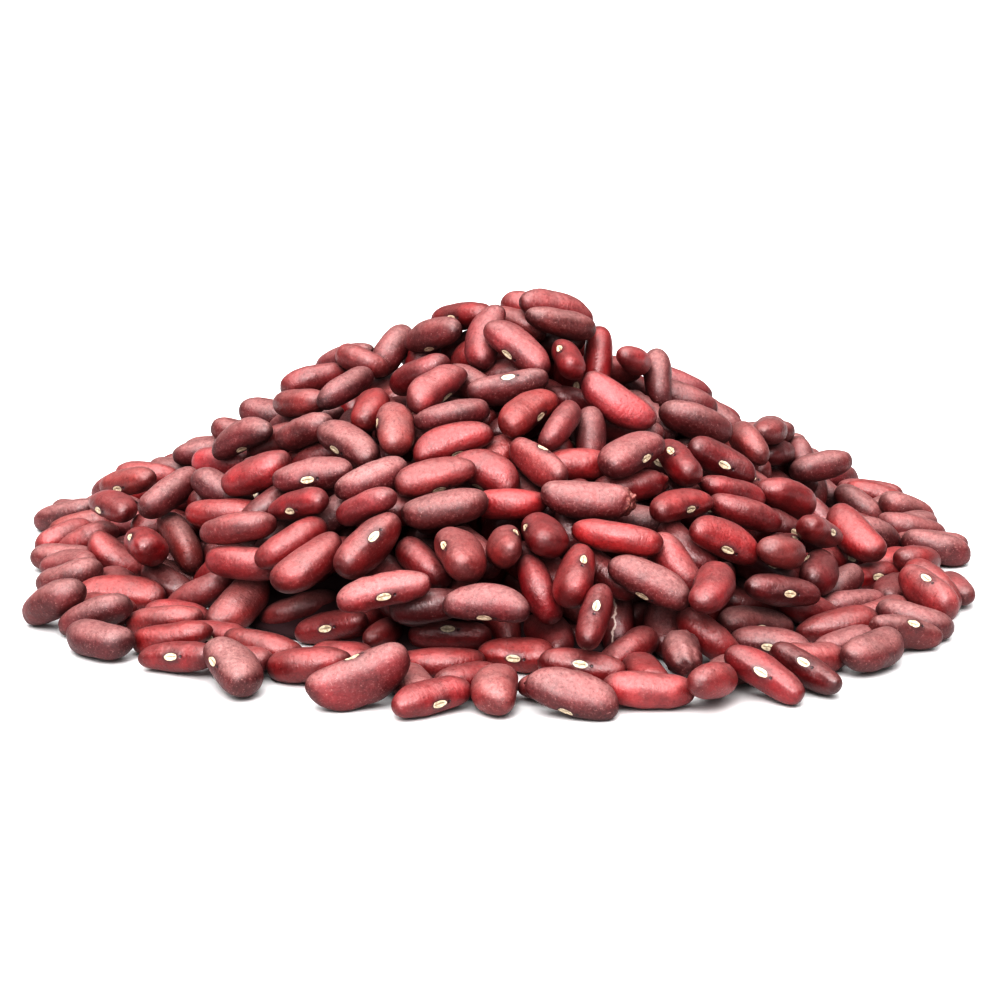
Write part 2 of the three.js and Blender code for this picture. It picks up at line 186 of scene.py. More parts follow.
    (-77.08, 22.42, 14.18, 0.1224, 0.9673, -0.2220, 0.0108, 16.0, 7.81, 6.66, 0.31, 4, 2, ""),
    (-71.20, 28.33, 13.74, 0.1519, 0.9679, -0.1949, -0.0457, 14.6, 8.18, 6.27, 0.31, 5, 2, ""),
    (-73.97, 58.02, 5.27, 0.2873, 0.9041, -0.1201, -0.2925, 14.6, 7.93, 6.33, 0.23, 5, 1, ""),
    (-79.86, 15.01, 14.69, 0.9184, 0.0778, -0.1750, -0.3461, 16.5, 7.21, 5.78, 0.13, 4, 3, ""),
    (-83.35, 65.64, 3.07, 0.0037, 0.9946, -0.1023, 0.0152, 15.2, 8.16, 6.09, 0.23, 5, 2, ""),
    (-87.88, 51.40, 4.94, 0.0550, 0.9382, -0.2494, 0.2338, 15.6, 7.73, 6.39, 0.29, 5, 2, ""),
    (-79.89, -5.72, 14.63, 0.8719, 0.0410, -0.0393, -0.4864, 16.2, 7.31, 5.87, 0.39, 3, 3, ""),
    (-67.06, -15.31, 20.00, 0.1929, 0.8822, 0.3307, 0.2741, 15.7, 8.05, 6.45, 0.16, 5, 2, ""),
    (-96.35, 27.23, 4.30, 0.0961, 0.9569, -0.2213, 0.1617, 16.4, 7.16, 5.75, 0.20, 5, 2, ""),
    (-93.54, 33.13, 3.20, 0.0034, 0.9758, -0.2186, 0.0064, 15.4, 7.46, 6.38, 0.25, 5, 2, ""),
    (-90.63, 19.65, 3.84, 0.2152, 0.9716, -0.0370, 0.0911, 16.1, 7.50, 5.99, 0.35, 4, 2, ""),
    (-92.81, 9.57, 3.89, 0.2501, 0.8977, 0.3222, 0.1668, 14.5, 7.78, 6.74, 0.25, 4, 2, ""),
    (-87.47, 2.05, 4.93, 0.2037, 0.9467, -0.1367, 0.2086, 14.5, 8.29, 6.40, 0.22, 4, 2, ""),
    (-81.66, 8.87, 5.09, 0.0534, 0.9431, -0.2058, 0.2556, 16.2, 7.13, 5.72, 0.34, 4, 2, ""),
    (-70.50, -27.45, 11.65, 0.7332, -0.2750, 0.1240, -0.6095, 14.6, 8.85, 7.10, 0.32, 2, 3, ""),
    (-79.67, -9.86, 4.62, 0.2107, -0.9252, 0.2269, 0.2194, 14.6, 7.74, 6.14, 0.45, 4, 2, ""),
    (-75.61, -32.23, 3.43, 0.9577, 0.2755, -0.0309, -0.0767, 19.1, 7.85, 6.30, 0.21, 3, 3, ""),
    (-88.27, -13.74, 4.36, 0.9213, 0.1335, -0.1364, -0.3388, 16.3, 7.14, 5.73, 0.30, 5, 3, ""),
    (-90.82, -4.98, 3.10, 0.0057, 0.9902, -0.1393, -0.0020, 15.8, 7.86, 6.21, 0.17, 5, 2, ""),
    (-87.34, -23.73, 4.30, 0.0840, 0.9747, -0.1368, 0.1556, 14.9, 8.17, 6.57, 0.25, 5, 2, ""),
    (-87.00, -45.97, 5.40, 0.1189, 0.9275, -0.2606, 0.2402, 15.9, 8.38, 6.72, 0.27, 5, 2, ""),
    (-66.84, -17.15, 2.88, 0.0555, 0.9687, -0.2409, -0.0233, 16.5, 7.19, 5.77, 0.35, 4, 2, ""),
    (-66.90, -26.79, 3.73, 0.0220, -0.9228, 0.3733, 0.0932, 15.2, 7.73, 6.55, 0.30, 1, 2, ""),
    (-65.17, -17.86, 11.03, 0.4677, 0.7237, -0.2108, -0.4617, 16.3, 7.41, 6.11, 0.46, 4, 2, "t"),
    (-68.96, -7.27, 11.08, 0.9863, 0.1644, -0.0038, -0.0085, 15.1, 7.82, 6.04, 0.26, 3, 1, ""),
    (-54.82, -30.70, 19.49, 0.0662, 0.9836, -0.1621, 0.0429, 17.0, 7.37, 5.91, 0.30, 3, 2, ""),
    (-62.49, -4.60, 16.69, 0.1760, 0.9652, -0.1867, 0.0516, 14.5, 7.55, 6.28, 0.31, 4, 1, ""),
    (-59.27, -38.14, 4.94, 0.0088, 0.9547, -0.1557, 0.2535, 15.8, 7.92, 6.01, 0.31, 4, 2, ""),
    (-56.22, -25.52, 5.89, 0.1656, 0.9232, -0.1213, 0.3248, 14.5, 7.77, 6.66, 0.37, 2, 1, ""),
    (-49.82, -48.25, 14.17, 0.1516, 0.9647, -0.2133, -0.0309, 16.2, 7.69, 6.67, 0.36, 4, 2, ""),
    (-35.48, -60.28, 17.41, 0.1276, -0.9218, -0.2995, -0.2105, 16.2, 8.44, 6.77, 0.31, 3, 2, "d"),
    (-50.17, -46.74, 5.46, 0.3514, -0.8042, -0.4575, -0.1433, 16.2, 8.39, 6.74, 0.26, 4, 3, ""),
    (-24.85, -61.48, 20.89, 0.8656, -0.2428, -0.3403, 0.2757, 16.2, 9.60, 7.71, 0.21, 3, 3, "d"),
    (-21.30, -73.65, 15.96, 0.9925, 0.0521, -0.1060, 0.0311, 17.5, 7.67, 6.15, 0.38, 4, 3, "d"),
    (-39.18, -45.42, 4.06, 0.0983, 0.9844, -0.0249, 0.1439, 16.1, 7.13, 5.72, 0.41, 4, 2, ""),
    (-31.44, -56.24, 3.88, 0.9630, -0.0917, -0.1325, -0.2160, 15.7, 7.41, 5.95, 0.33, 3, 3, ""),
    (-21.90, -60.76, 3.76, 0.2697, 0.7192, 0.6329, 0.0972, 15.1, 6.95, 5.60, 0.37, 3, 2, ""),
    (-47.63, -84.29, 4.52, 0.8228, -0.1181, 0.1785, -0.5265, 16.1, 9.58, 7.69, 0.28, 5, 3, "d"),
    (-44.09, -69.25, 3.60, 0.1786, 0.9600, -0.1962, -0.0893, 16.2, 7.73, 6.56, 0.23, 3, 2, ""),
    (-35.03, -79.56, 3.60, 0.0647, 0.9850, -0.1418, 0.0741, 16.2, 7.93, 6.37, 0.24, 3, 2, ""),
    (-24.76, -93.62, 5.22, 0.7129, -0.6774, -0.1793, -0.0275, 19.2, 9.46, 7.59, 0.34, 5, 3, ""),
    (-13.42, -70.51, 12.02, 0.1123, 0.9865, -0.0871, 0.0810, 15.1, 7.48, 6.43, 0.38, 1, 2, ""),
    (-2.25, -76.65, 14.58, 0.9448, 0.3145, -0.0126, -0.0915, 16.2, 7.48, 6.00, 0.40, 5, 3, ""),
    (-9.22, -61.99, 3.47, 0.9365, -0.3422, 0.0056, -0.0761, 15.8, 7.64, 6.13, 0.14, 2, 3, ""),
    (9.27, -62.50, 4.15, 0.7374, 0.3863, -0.2179, -0.5094, 15.9, 8.31, 6.67, 0.41, 3, 2, ""),
    (16.87, -81.52, 12.77, 0.5013, -0.3824, 0.6732, -0.3864, 16.1, 7.08, 5.68, 0.28, 1, 3, ""),
    (3.12, -72.36, 3.29, 0.9947, -0.0435, 0.0086, -0.0925, 14.6, 7.97, 6.61, 0.25, 3, 2, ""),
    (-10.96, -77.33, 3.03, 0.0120, 0.9999, -0.0094, 0.0038, 16.2, 7.77, 6.07, 0.45, 3, 2, ""),
    (-12.54, -96.42, 3.09, 0.9525, 0.0668, -0.0170, 0.2968, 15.7, 7.28, 5.84, 0.32, 3, 3, ""),
    (-1.00, -93.58, 3.70, 0.0733, 0.6731, -0.7258, -0.1218, 15.8, 8.48, 6.81, 0.41, 4, 2, "d"),
    (12.58, -97.80, 4.31, 0.9288, 0.3426, 0.0654, -0.1250, 17.3, 7.98, 6.40, 0.21, 5, 3, ""),
    (14.84, -82.16, 3.72, 0.9655, -0.2390, 0.0710, -0.0753, 16.2, 8.17, 6.73, 0.31, 2, 1, ""),
    (29.92, -50.19, 3.54, 0.6718, -0.6491, -0.1815, 0.3074, 15.8, 7.01, 5.63, 0.26, 3, 2, ""),
    (22.20, -58.63, 6.23, 0.3434, 0.6045, -0.3361, -0.6354, 14.7, 7.62, 6.54, 0.40, 1, 2, "s"),
    (24.11, -70.74, 3.70, 0.1809, 0.8650, 0.4393, 0.1614, 16.0, 7.85, 6.30, 0.35, 2, 2, "d"),
    (33.25, -77.34, 5.31, 0.2464, 0.6307, -0.6914, -0.2519, 15.4, 8.02, 6.43, 0.30, 5, 2, "r"),
    (26.19, -93.66, 3.36, 0.0792, 0.9961, 0.0202, -0.0335, 16.6, 8.02, 6.43, 0.19, 4, 2, ""),
    (37.74, -93.35, 4.96, 0.2664, 0.7556, 0.5984, -0.0016, 15.2, 8.09, 6.49, 0.38, 3, 2, ""),
    (47.45, -88.42, 4.46, 0.9268, -0.1655, 0.2408, -0.2359, 16.6, 7.95, 6.38, 0.36, 3, 3, ""),
    (48.09, -53.88, 3.83, 0.9736, -0.0104, 0.0998, 0.2051, 16.1, 8.21, 6.58, 0.46, 5, 3, ""),
    (38.43, -67.78, 5.56, 0.2187, 0.9033, -0.1969, -0.3121, 15.0, 8.00, 6.37, 0.39, 3, 2, ""),
    (64.28, -55.07, 3.54, 0.0985, 0.9798, 0.1617, 0.0640, 17.0, 8.22, 6.59, 0.12, 3, 2, ""),
    (79.36, -52.48, 3.96, 0.0540, 0.9853, -0.1001, -0.1273, 15.5, 8.07, 6.47, 0.23, 5, 2, ""),
    (76.04, -60.54, 3.93, 0.8916, -0.3935, 0.0748, 0.2112, 15.9, 7.06, 5.66, 0.28, 5, 2, ""),
    (69.07, -72.17, 3.98, 0.2747, -0.8694, -0.3975, 0.1031, 16.2, 7.71, 6.18, 0.28, 5, 3, ""),
    (55.54, -84.15, 3.81, 0.8615, -0.3090, 0.2586, -0.3090, 15.8, 7.22, 5.79, 0.45, 1, 3, ""),
    (56.99, -73.78, 3.30, 0.0489, 0.9715, 0.2180, -0.0793, 15.8, 7.03, 5.64, 0.21, 4, 2, "w"),
    (50.78, -65.22, 3.19, 0.9889, -0.0473, 0.0517, -0.1310, 15.3, 8.27, 6.11, 0.45, 4, 1, ""),
    (59.19, -48.86, 5.11, 0.0325, 0.9566, 0.1452, -0.2506, 15.3, 7.49, 6.71, 0.41, 2, 1, ""),
    (-78.00, -51.53, 4.66, 0.2242, 0.9537, -0.1037, 0.1714, 15.3, 7.65, 6.11, 0.26, 5, 2, ""),
    (-75.71, -63.35, 3.46, 0.0732, -0.9282, 0.3602, -0.0576, 16.5, 8.35, 6.70, 0.28, 5, 2, ""),
    (-64.67, -51.16, 3.56, 0.1254, 0.9711, -0.1881, 0.0764, 16.4, 7.16, 5.75, 0.20, 4, 2, ""),
    (-61.61, -62.97, 3.72, 0.0979, 0.9810, -0.1307, 0.1047, 16.5, 7.21, 5.78, 0.25, 3, 2, ""),
    (-58.80, -73.72, 3.27, 0.9677, -0.1458, -0.0519, -0.1990, 16.1, 7.10, 5.70, 0.31, 2, 3, ""),
    (-33.63, 15.58, 41.36, 0.0296, 0.9383, -0.2957, 0.1771, 15.7, 7.00, 5.62, 0.34, 5, 2, ""),
    (-29.23, 5.37, 43.16, 0.1465, 0.9416, -0.2612, -0.1537, 13.0, 6.95, 5.60, 0.42, 4, 2, ""),
    (-38.67, 8.10, 38.53, 0.3227, 0.9332, 0.1009, 0.1216, 15.6, 7.72, 6.08, 0.20, 4, 2, ""),
    (-35.88, 24.46, 36.55, 0.0232, 0.9746, -0.1802, 0.1310, 14.4, 7.71, 6.43, 0.32, 5, 1, ""),
    (-39.69, 17.91, 34.42, 0.1222, 0.9688, -0.2104, -0.0461, 15.4, 8.20, 6.69, 0.24, 4, 1, ""),
    (-30.84, -10.60, 41.05, 0.1859, 0.8647, 0.4101, 0.2227, 15.9, 7.03, 5.64, 0.39, 5, 2, ""),
    (-47.39, 22.80, 28.06, 0.0713, 0.9790, -0.1882, 0.0335, 16.2, 8.11, 6.35, 0.39, 3, 1, ""),
    (41.43, -22.78, 8.58, 0.8207, -0.4523, -0.3092, -0.1618, 19.2, 9.31, 6.74, 0.32, 5, 1, ""),
    (-48.92, 22.95, 7.59, 0.3196, -0.3678, -0.5249, -0.6979, 15.1, 8.33, 6.59, 0.35, 1, 1, ""),
    (-16.72, -42.94, 24.66, 0.3412, -0.7975, -0.4894, 0.0896, 16.5, 8.10, 6.71, 0.35, 2, 1, "d"),
    (59.57, -2.67, 10.82, 0.8097, -0.3767, 0.3613, -0.2680, 15.2, 7.22, 6.45, 0.31, 5, 1, ""),
    (-1.22, -0.17, 45.26, 0.0157, -0.0196, 0.5430, 0.8394, 18.8, 9.05, 7.85, 0.35, 3, 1, ""),
    (-7.27, 30.84, 28.84, 0.0202, 0.0063, 0.9405, -0.3390, 18.1, 9.75, 6.84, 0.43, 5, 1, ""),
    (27.91, 7.72, 18.85, 0.5423, 0.6295, 0.2674, -0.4880, 15.2, 7.20, 6.24, 0.33, 2, 0, ""),
    (-52.35, 3.27, 21.49, 0.0676, 0.2372, 0.9688, -0.0256, 15.6, 8.48, 6.29, 0.27, 3, 1, ""),
    (-0.23, 87.13, 4.57, 0.1649, 0.2187, 0.7808, 0.5616, 18.4, 9.21, 7.18, 0.30, 1, 1, ""),
    (22.83, 21.58, 17.72, 0.2659, -0.2458, 0.7512, 0.5518, 15.9, 8.18, 7.09, 0.40, 5, 0, ""),
    (-16.81, 61.40, 8.98, 0.5942, 0.1740, 0.7775, 0.1100, 17.9, 8.64, 7.09, 0.49, 2, 1, ""),
    (20.95, 48.36, 19.83, 0.3931, 0.8099, 0.0735, 0.4291, 16.0, 7.76, 6.73, 0.44, 4, 1, ""),
    (47.56, -28.04, 6.63, 0.2497, 0.2249, 0.6870, -0.6442, 18.5, 9.48, 7.18, 0.25, 3, 1, ""),
    (51.54, 43.29, 16.61, 0.1480, 0.7660, 0.5914, 0.2037, 14.0, 7.32, 6.17, 0.42, 4, 1, "w"),
    (-4.32, -47.78, 10.75, 0.3542, -0.3556, 0.4224, 0.7548, 18.6, 8.89, 6.78, 0.46, 1, 1, ""),
    (-18.54, 52.54, 10.67, 0.1220, -0.3829, -0.5965, 0.6948, 15.5, 7.33, 7.17, 0.33, 4, 1, ""),
    (55.33, -35.10, 13.01, 0.7605, -0.3775, -0.1031, 0.5182, 15.2, 7.83, 6.36, 0.30, 1, 1, "w"),
    (-19.02, -8.36, 25.33, 0.4117, 0.7739, 0.2722, -0.3969, 14.1, 7.20, 6.17, 0.29, 4, 1, ""),
    (33.50, -40.01, 7.62, 0.0698, -0.1916, 0.2914, 0.9346, 16.9, 9.52, 6.64, 0.42, 1, 0, ""),
    (-8.35, -30.25, 19.22, 0.1561, 0.6139, -0.5359, 0.5582, 15.6, 7.50, 6.96, 0.32, 5, 0, "d"),
    (-19.38, -15.49, 22.83, 0.5850, 0.7773, 0.0259, 0.2301, 17.3, 8.75, 6.51, 0.47, 1, 1, "d"),
    (-19.98, -25.19, 18.83, 0.0572, -0.5242, 0.0982, -0.8440, 16.8, 7.77, 7.18, 0.25, 3, 1, ""),
    (-47.07, 58.05, 13.26, 0.3706, -0.2375, 0.0974, -0.8926, 16.8, 8.90, 6.17, 0.26, 4, 1, "d"),
    (-7.90, 31.49, 17.85, 0.3687, 0.0080, -0.8111, 0.4540, 16.4, 8.03, 6.72, 0.29, 2, 0, ""),
    (-21.11, 44.89, 7.88, 0.1773, -0.7722, 0.2587, 0.5525, 16.3, 8.15, 6.55, 0.24, 5, 0, ""),
    (0.36, -42.93, 17.35, 0.5879, -0.3774, 0.3496, 0.6243, 16.4, 8.50, 6.55, 0.42, 1, 1, ""),
    (22.68, 34.74, 22.87, 0.2192, -0.9367, -0.0207, 0.2724, 15.5, 8.46, 5.70, 0.28, 5, 1, ""),
    (0.74, 41.32, 27.87, 0.2727, -0.9460, -0.1531, 0.0855, 17.0, 8.62, 6.66, 0.25, 2, 1, "w"),
    (43.27, 11.88, 18.98, 0.4894, -0.8027, 0.1666, 0.2974, 15.8, 7.61, 6.69, 0.48, 2, 1, ""),
    (-33.56, -4.52, 18.94, 0.4542, 0.4006, -0.5416, 0.5830, 17.8, 9.95, 7.50, 0.33, 5, 1, ""),
    (33.17, 36.83, 15.23, 0.9860, 0.1313, -0.0288, -0.0984, 18.0, 8.91, 6.82, 0.46, 4, 1, ""),
    (-22.50, -31.22, 15.50, 0.0512, 0.8300, 0.1821, -0.5247, 15.5, 7.63, 6.74, 0.24, 1, 0, ""),
    (-77.43, 15.68, 4.24, 0.0241, -0.0154, -0.6402, -0.7677, 15.2, 8.17, 6.01, 0.41, 2, 1, ""),
    (36.88, 64.04, 11.26, 0.2218, 0.1196, 0.9675, -0.0208, 14.2, 7.61, 5.70, 0.42, 5, 1, "w"),
    (7.13, 60.97, 8.43, 0.0523, 0.1878, -0.1587, -0.9679, 16.3, 8.16, 6.79, 0.32, 2, 1, ""),
    (24.63, 18.48, 27.95, 0.5547, -0.3761, -0.2298, 0.7057, 17.1, 7.98, 6.77, 0.12, 2, 1, ""),
    (33.45, 44.67, 20.97, 0.4680, -0.7901, 0.2981, -0.2604, 18.1, 9.46, 7.69, 0.20, 5, 1, "w"),
    (29.63, -15.43, 17.25, 0.0119, 0.3859, 0.6070, -0.6946, 19.0, 9.47, 7.77, 0.32, 2, 1, ""),
    (-16.12, -12.69, 31.80, 0.1699, -0.0387, 0.6132, -0.7705, 16.3, 8.72, 6.34, 0.37, 4, 1, ""),
    (64.24, 33.93, 3.61, 0.0021, -0.9031, -0.4293, -0.0037, 17.0, 8.52, 7.22, 0.39, 3, 1, "w"),
    (-58.10, -12.92, 14.18, 0.6008, -0.6222, -0.1291, 0.4850, 18.4, 9.42, 7.24, 0.36, 2, 1, "w"),
    (51.39, 23.28, 14.80, 0.8900, -0.1985, -0.3136, 0.2649, 15.1, 7.30, 6.21, 0.19, 5, 1, ""),
    (20.29, -15.72, 22.64, 0.0187, 0.6592, -0.1967, -0.7256, 14.7, 8.23, 5.89, 0.32, 2, 1, ""),
    (-24.16, 27.33, 25.78, 0.8455, -0.5245, -0.0238, -0.0973, 16.7, 8.32, 6.83, 0.36, 5, 1, ""),
    (2.60, 8.62, 31.27, 0.5053, -0.2053, -0.7760, -0.3168, 14.5, 7.52, 6.43, 0.38, 5, 1, ""),
    (39.11, 84.41, 4.95, 0.2689, -0.6862, -0.5010, 0.4537, 17.9, 8.75, 7.30, 0.35, 4, 1, "w"),
    (24.12, 53.32, 4.32, 0.4460, 0.4468, 0.5308, 0.5655, 16.2, 8.38, 5.88, 0.37, 4, 0, ""),
    (-18.68, 9.09, 25.46, 0.5928, 0.5899, 0.2723, -0.4759, 15.4, 8.03, 6.09, 0.16, 2, 1, "w"),
    (20.09, 54.21, 13.00, 0.2053, -0.1561, -0.7087, 0.6566, 18.7, 9.74, 7.60, 0.22, 5, 1, ""),
    (-13.45, -29.18, 31.24, 0.3402, -0.4056, -0.8147, 0.2367, 16.4, 7.93, 6.52, 0.26, 3, 1, "d"),
    (26.96, 27.09, 13.61, 0.3586, 0.6952, 0.0812, 0.6176, 16.7, 8.78, 7.31, 0.26, 2, 0, ""),
    (5.31, 36.11, 15.36, 0.1744, 0.8626, 0.4749, 0.0080, 17.6, 8.63, 7.36, 0.20, 3, 0, "w"),
    (-31.50, 11.03, 29.22, 0.6448, -0.4567, 0.0239, -0.6125, 17.0, 8.30, 7.39, 0.16, 2, 1, "w"),
    (-42.72, 36.34, 15.10, 0.4913, -0.4662, 0.3276, -0.6588, 16.3, 9.25, 6.20, 0.26, 4, 1, ""),
    (9.03, 61.06, 17.60, 0.5576, 0.8021, -0.0406, 0.2100, 17.2, 8.88, 6.66, 0.41, 5, 1, ""),
    (-12.60, 36.71, 14.36, 0.5812, -0.4736, -0.6616, 0.0120, 16.2, 7.34, 6.93, 0.25, 2, 1, ""),
    (31.84, 82.63, 3.19, 0.6417, 0.0292, -0.0204, 0.7661, 16.4, 8.36, 6.13, 0.25, 2, 1, "d"),
    (29.47, -2.36, 18.23, 0.2516, 0.7991, -0.5015, 0.2161, 15.3, 7.81, 7.01, 0.46, 2, 1, "w"),
    (13.01, 51.73, 22.26, 0.0230, -0.2695, 0.7601, -0.5908, 17.1, 7.93, 7.08, 0.30, 1, 1, "d"),
    (24.38, 85.74, 4.56, 0.5951, -0.4546, 0.6185, -0.2381, 14.2, 7.29, 5.99, 0.35, 5, 1, ""),
    (-30.13, 2.46, 26.27, 0.5609, -0.4652, 0.0105, -0.6847, 15.0, 7.93, 6.67, 0.35, 2, 1, ""),
    (52.80, -16.98, 14.74, 0.2830, 0.2882, -0.9148, 0.0066, 16.9, 9.09, 7.24, 0.35, 5, 1, ""),
    (10.03, 79.52, 4.45, 0.1852, 0.3359, -0.9211, 0.0661, 14.7, 7.60, 6.50, 0.35, 3, 1, ""),
    (-32.04, 53.02, 17.71, 0.0339, 0.8845, 0.4603, -0.0684, 17.0, 8.39, 7.03, 0.39, 1, 1, ""),
    (-25.03, 76.14, 5.83, 0.1499, -0.8174, -0.4983, -0.2472, 16.8, 9.47, 6.91, 0.39, 4, 1, ""),
    (-50.49, 30.86, 17.92, 0.6019, 0.3013, 0.4094, -0.6159, 16.8, 8.67, 6.68, 0.23, 4, 1, ""),
    (15.43, 23.91, 31.93, 0.1560, 0.0713, -0.1269, 0.9770, 15.4, 8.27, 5.88, 0.30, 2, 1, ""),
    (-2.07, 35.78, 21.95, 0.0442, 0.2454, 0.7636, -0.5956, 16.6, 8.53, 6.19, 0.24, 3, 0, ""),
    (46.48, -10.07, 6.56, 0.0201, -0.8931, 0.0261, -0.4486, 15.2, 7.71, 6.64, 0.48, 5, 1, ""),
    (-44.51, 17.23, 11.76, 0.7300, -0.3339, 0.5721, 0.1684, 16.4, 8.39, 6.48, 0.37, 2, 1, ""),
    (8.05, 27.53, 27.24, 0.0391, -0.1070, -0.9922, -0.0497, 14.5, 8.17, 6.69, 0.45, 4, 1, "d"),
    (-37.09, 51.48, 3.21, 0.9684, 0.0066, -0.0186, 0.2488, 16.2, 8.36, 6.33, 0.37, 3, 0, ""),
    (21.41, 37.91, 10.76, 0.6892, 0.0938, -0.3067, 0.6498, 16.9, 8.16, 7.22, 0.20, 2, 0, ""),
    (-60.30, 29.30, 11.59, 0.0469, 0.7978, -0.5696, 0.1922, 16.4, 8.30, 6.76, 0.29, 5, 1, ""),
    (6.48, -24.07, 23.31, 0.1469, -0.6317, 0.2211, -0.7283, 19.0, 9.22, 7.55, 0.38, 5, 1, ""),
    (-28.25, -34.07, 26.12, 0.2918, 0.0326, 0.1872, -0.9374, 15.2, 7.94, 6.60, 0.26, 4, 1, ""),
    (0.96, 72.92, 4.51, 0.4708, -0.5599, -0.5383, 0.4185, 17.4, 9.13, 6.79, 0.31, 3, 1, ""),
    (-58.76, -4.16, 5.13, 0.2502, 0.1260, -0.5491, 0.7874, 16.5, 8.25, 7.24, 0.32, 5, 1, "d"),
    (70.46, 11.90, 3.54, 0.0032, 0.2914, 0.9566, 0.0007, 16.1, 8.06, 7.08, 0.29, 5, 1, ""),
    (16.02, -48.99, 8.53, 0.3520, 0.6880, 0.1439, -0.6182, 14.3, 7.78, 6.28, 0.35, 5, 1, "w"),
    (40.32, -9.88, 10.84, 0.1126, 0.4320, 0.5039, -0.7394, 15.1, 8.16, 6.77, 0.32, 2, 1, "d"),
    (40.91, -6.67, 20.25, 0.1911, -0.7210, -0.4470, 0.4937, 16.0, 7.76, 7.02, 0.31, 5, 1, ""),
    (36.32, 1.29, 23.02, 0.0035, 0.7826, -0.5728, 0.2437, 17.5, 9.27, 6.97, 0.33, 2, 1, "d"),
    (-30.14, 18.91, 17.74, 0.5091, -0.6019, -0.5940, -0.1602, 18.4, 8.84, 6.62, 0.34, 1, 0, "d"),
    (12.17, -53.82, 2.92, 0.0352, -0.4622, -0.8861, -0.0016, 13.6, 7.37, 5.70, 0.31, 3, 1, ""),
    (3.94, -13.33, 29.66, 0.3833, -0.5507, -0.2838, -0.6851, 16.9, 8.65, 6.44, 0.42, 2, 1, ""),
    (-78.05, 44.20, 6.97, 0.0039, 0.9378, 0.0308, 0.3458, 18.2, 9.03, 7.46, 0.41, 2, 1, ""),
    (-16.61, 28.29, 17.88, 0.5339, 0.1758, -0.5012, 0.6579, 16.5, 8.87, 7.27, 0.37, 5, 0, ""),
    (15.91, -20.56, 31.43, 0.4738, -0.1197, -0.8707, -0.0560, 16.5, 8.29, 6.96, 0.22, 2, 1, ""),
    (-20.25, 34.85, 13.71, 0.6686, -0.4638, -0.5594, -0.1578, 15.0, 7.92, 6.09, 0.27, 3, 0, ""),
    (15.50, 3.33, 27.81, 0.3532, -0.7533, -0.4571, -0.3143, 14.4, 7.81, 6.38, 0.30, 4, 1, ""),
    (-44.94, 30.59, 7.14, 0.0524, 0.8521, -0.2772, -0.4409, 16.7, 8.35, 6.65, 0.30, 5, 1, ""),
    (-54.25, 7.00, 8.26, 0.4574, -0.7038, 0.4356, 0.3250, 14.9, 7.52, 6.57, 0.44, 3, 1, ""),
    (35.23, 60.59, 3.68, 0.8370, 0.1263, -0.0818, -0.5261, 17.4, 8.11, 7.25, 0.30, 1, 1, ""),
    (-49.79, -16.77, 17.31, 0.8699, -0.3895, -0.2908, 0.0841, 18.7, 8.91, 6.75, 0.39, 1, 1, ""),
    (-15.30, 39.69, 24.83, 0.1546, -0.1247, -0.2149, 0.9562, 16.9, 8.67, 6.64, 0.24, 2, 1, "w"),
    (6.52, 20.56, 23.86, 0.0185, -0.1244, -0.9731, -0.1931, 14.6, 8.20, 6.21, 0.21, 5, 1, ""),
    (59.46, 54.33, 8.15, 0.6599, -0.1100, 0.5571, 0.4920, 17.0, 8.05, 7.24, 0.35, 3, 1, ""),
    (35.27, 33.82, 7.28, 0.2895, -0.1291, 0.5947, -0.7388, 18.0, 8.70, 6.95, 0.32, 1, 0, ""),
    (71.48, -5.82, 6.07, 0.9091, 0.1261, 0.3385, 0.2073, 16.5, 8.72, 7.06, 0.12, 4, 1, "w"),
    (50.97, 3.43, 4.37, 0.0727, -0.0948, -0.6536, 0.7473, 17.0, 8.81, 6.63, 0.35, 5, 1, ""),
    (-42.06, 33.00, 23.56, 0.1148, -0.6392, -0.7519, 0.1139, 17.0, 8.74, 6.48, 0.26, 5, 1, ""),
    (-20.89, -6.49, 34.80, 0.1610, -0.9343, -0.3015, 0.1016, 15.5, 8.26, 6.03, 0.26, 2, 1, ""),
    (7.05, -8.35, 34.57, 0.3586, 0.8080, -0.1047, -0.4556, 16.2, 8.02, 6.27, 0.36, 5, 1, ""),
    (-0.64, 46.40, 9.93, 0.4068, -0.5334, 0.6737, 0.3099, 17.4, 7.75, 6.90, 0.33, 4, 1, "w"),
    (41.71, -2.19, 10.33, 0.3218, 0.2202, 0.9144, 0.1084, 17.6, 7.59, 7.06, 0.33, 1, 1, "w"),
    (16.76, -40.95, 13.59, 0.1730, 0.7218, -0.4182, 0.5236, 15.5, 8.44, 6.65, 0.15, 4, 0, ""),
    (-49.35, 78.24, 3.82, 0.4443, 0.0157, -0.0125, 0.8956, 16.7, 8.30, 7.57, 0.34, 1, 1, "w"),
    (-33.03, 69.24, 12.07, 0.3563, 0.8785, -0.0423, -0.3155, 18.3, 9.50, 7.32, 0.18, 5, 1, ""),
    (62.56, 24.42, 8.47, 0.3943, 0.8055, 0.1324, -0.4222, 17.9, 8.96, 7.47, 0.35, 2, 1, ""),
    (-51.97, 15.91, 7.99, 0.7860, 0.3845, 0.4533, -0.1697, 16.5, 8.84, 6.76, 0.26, 4, 1, ""),
    (16.27, 15.28, 34.56, 0.1560, -0.3141, -0.9351, 0.0509, 18.8, 9.04, 7.82, 0.44, 3, 1, ""),
    (-6.19, 84.10, 10.18, 0.8830, -0.2324, 0.1127, -0.3920, 15.9, 8.70, 6.90, 0.39, 4, 1, ""),
    (50.99, 41.51, 4.74, 0.0842, -0.7331, 0.5410, -0.4034, 15.1, 7.51, 6.29, 0.34, 3, 1, ""),
    (16.62, -8.20, 26.65, 0.5715, 0.4685, 0.6654, 0.1058, 19.0, 8.97, 7.38, 0.28, 5, 1, ""),
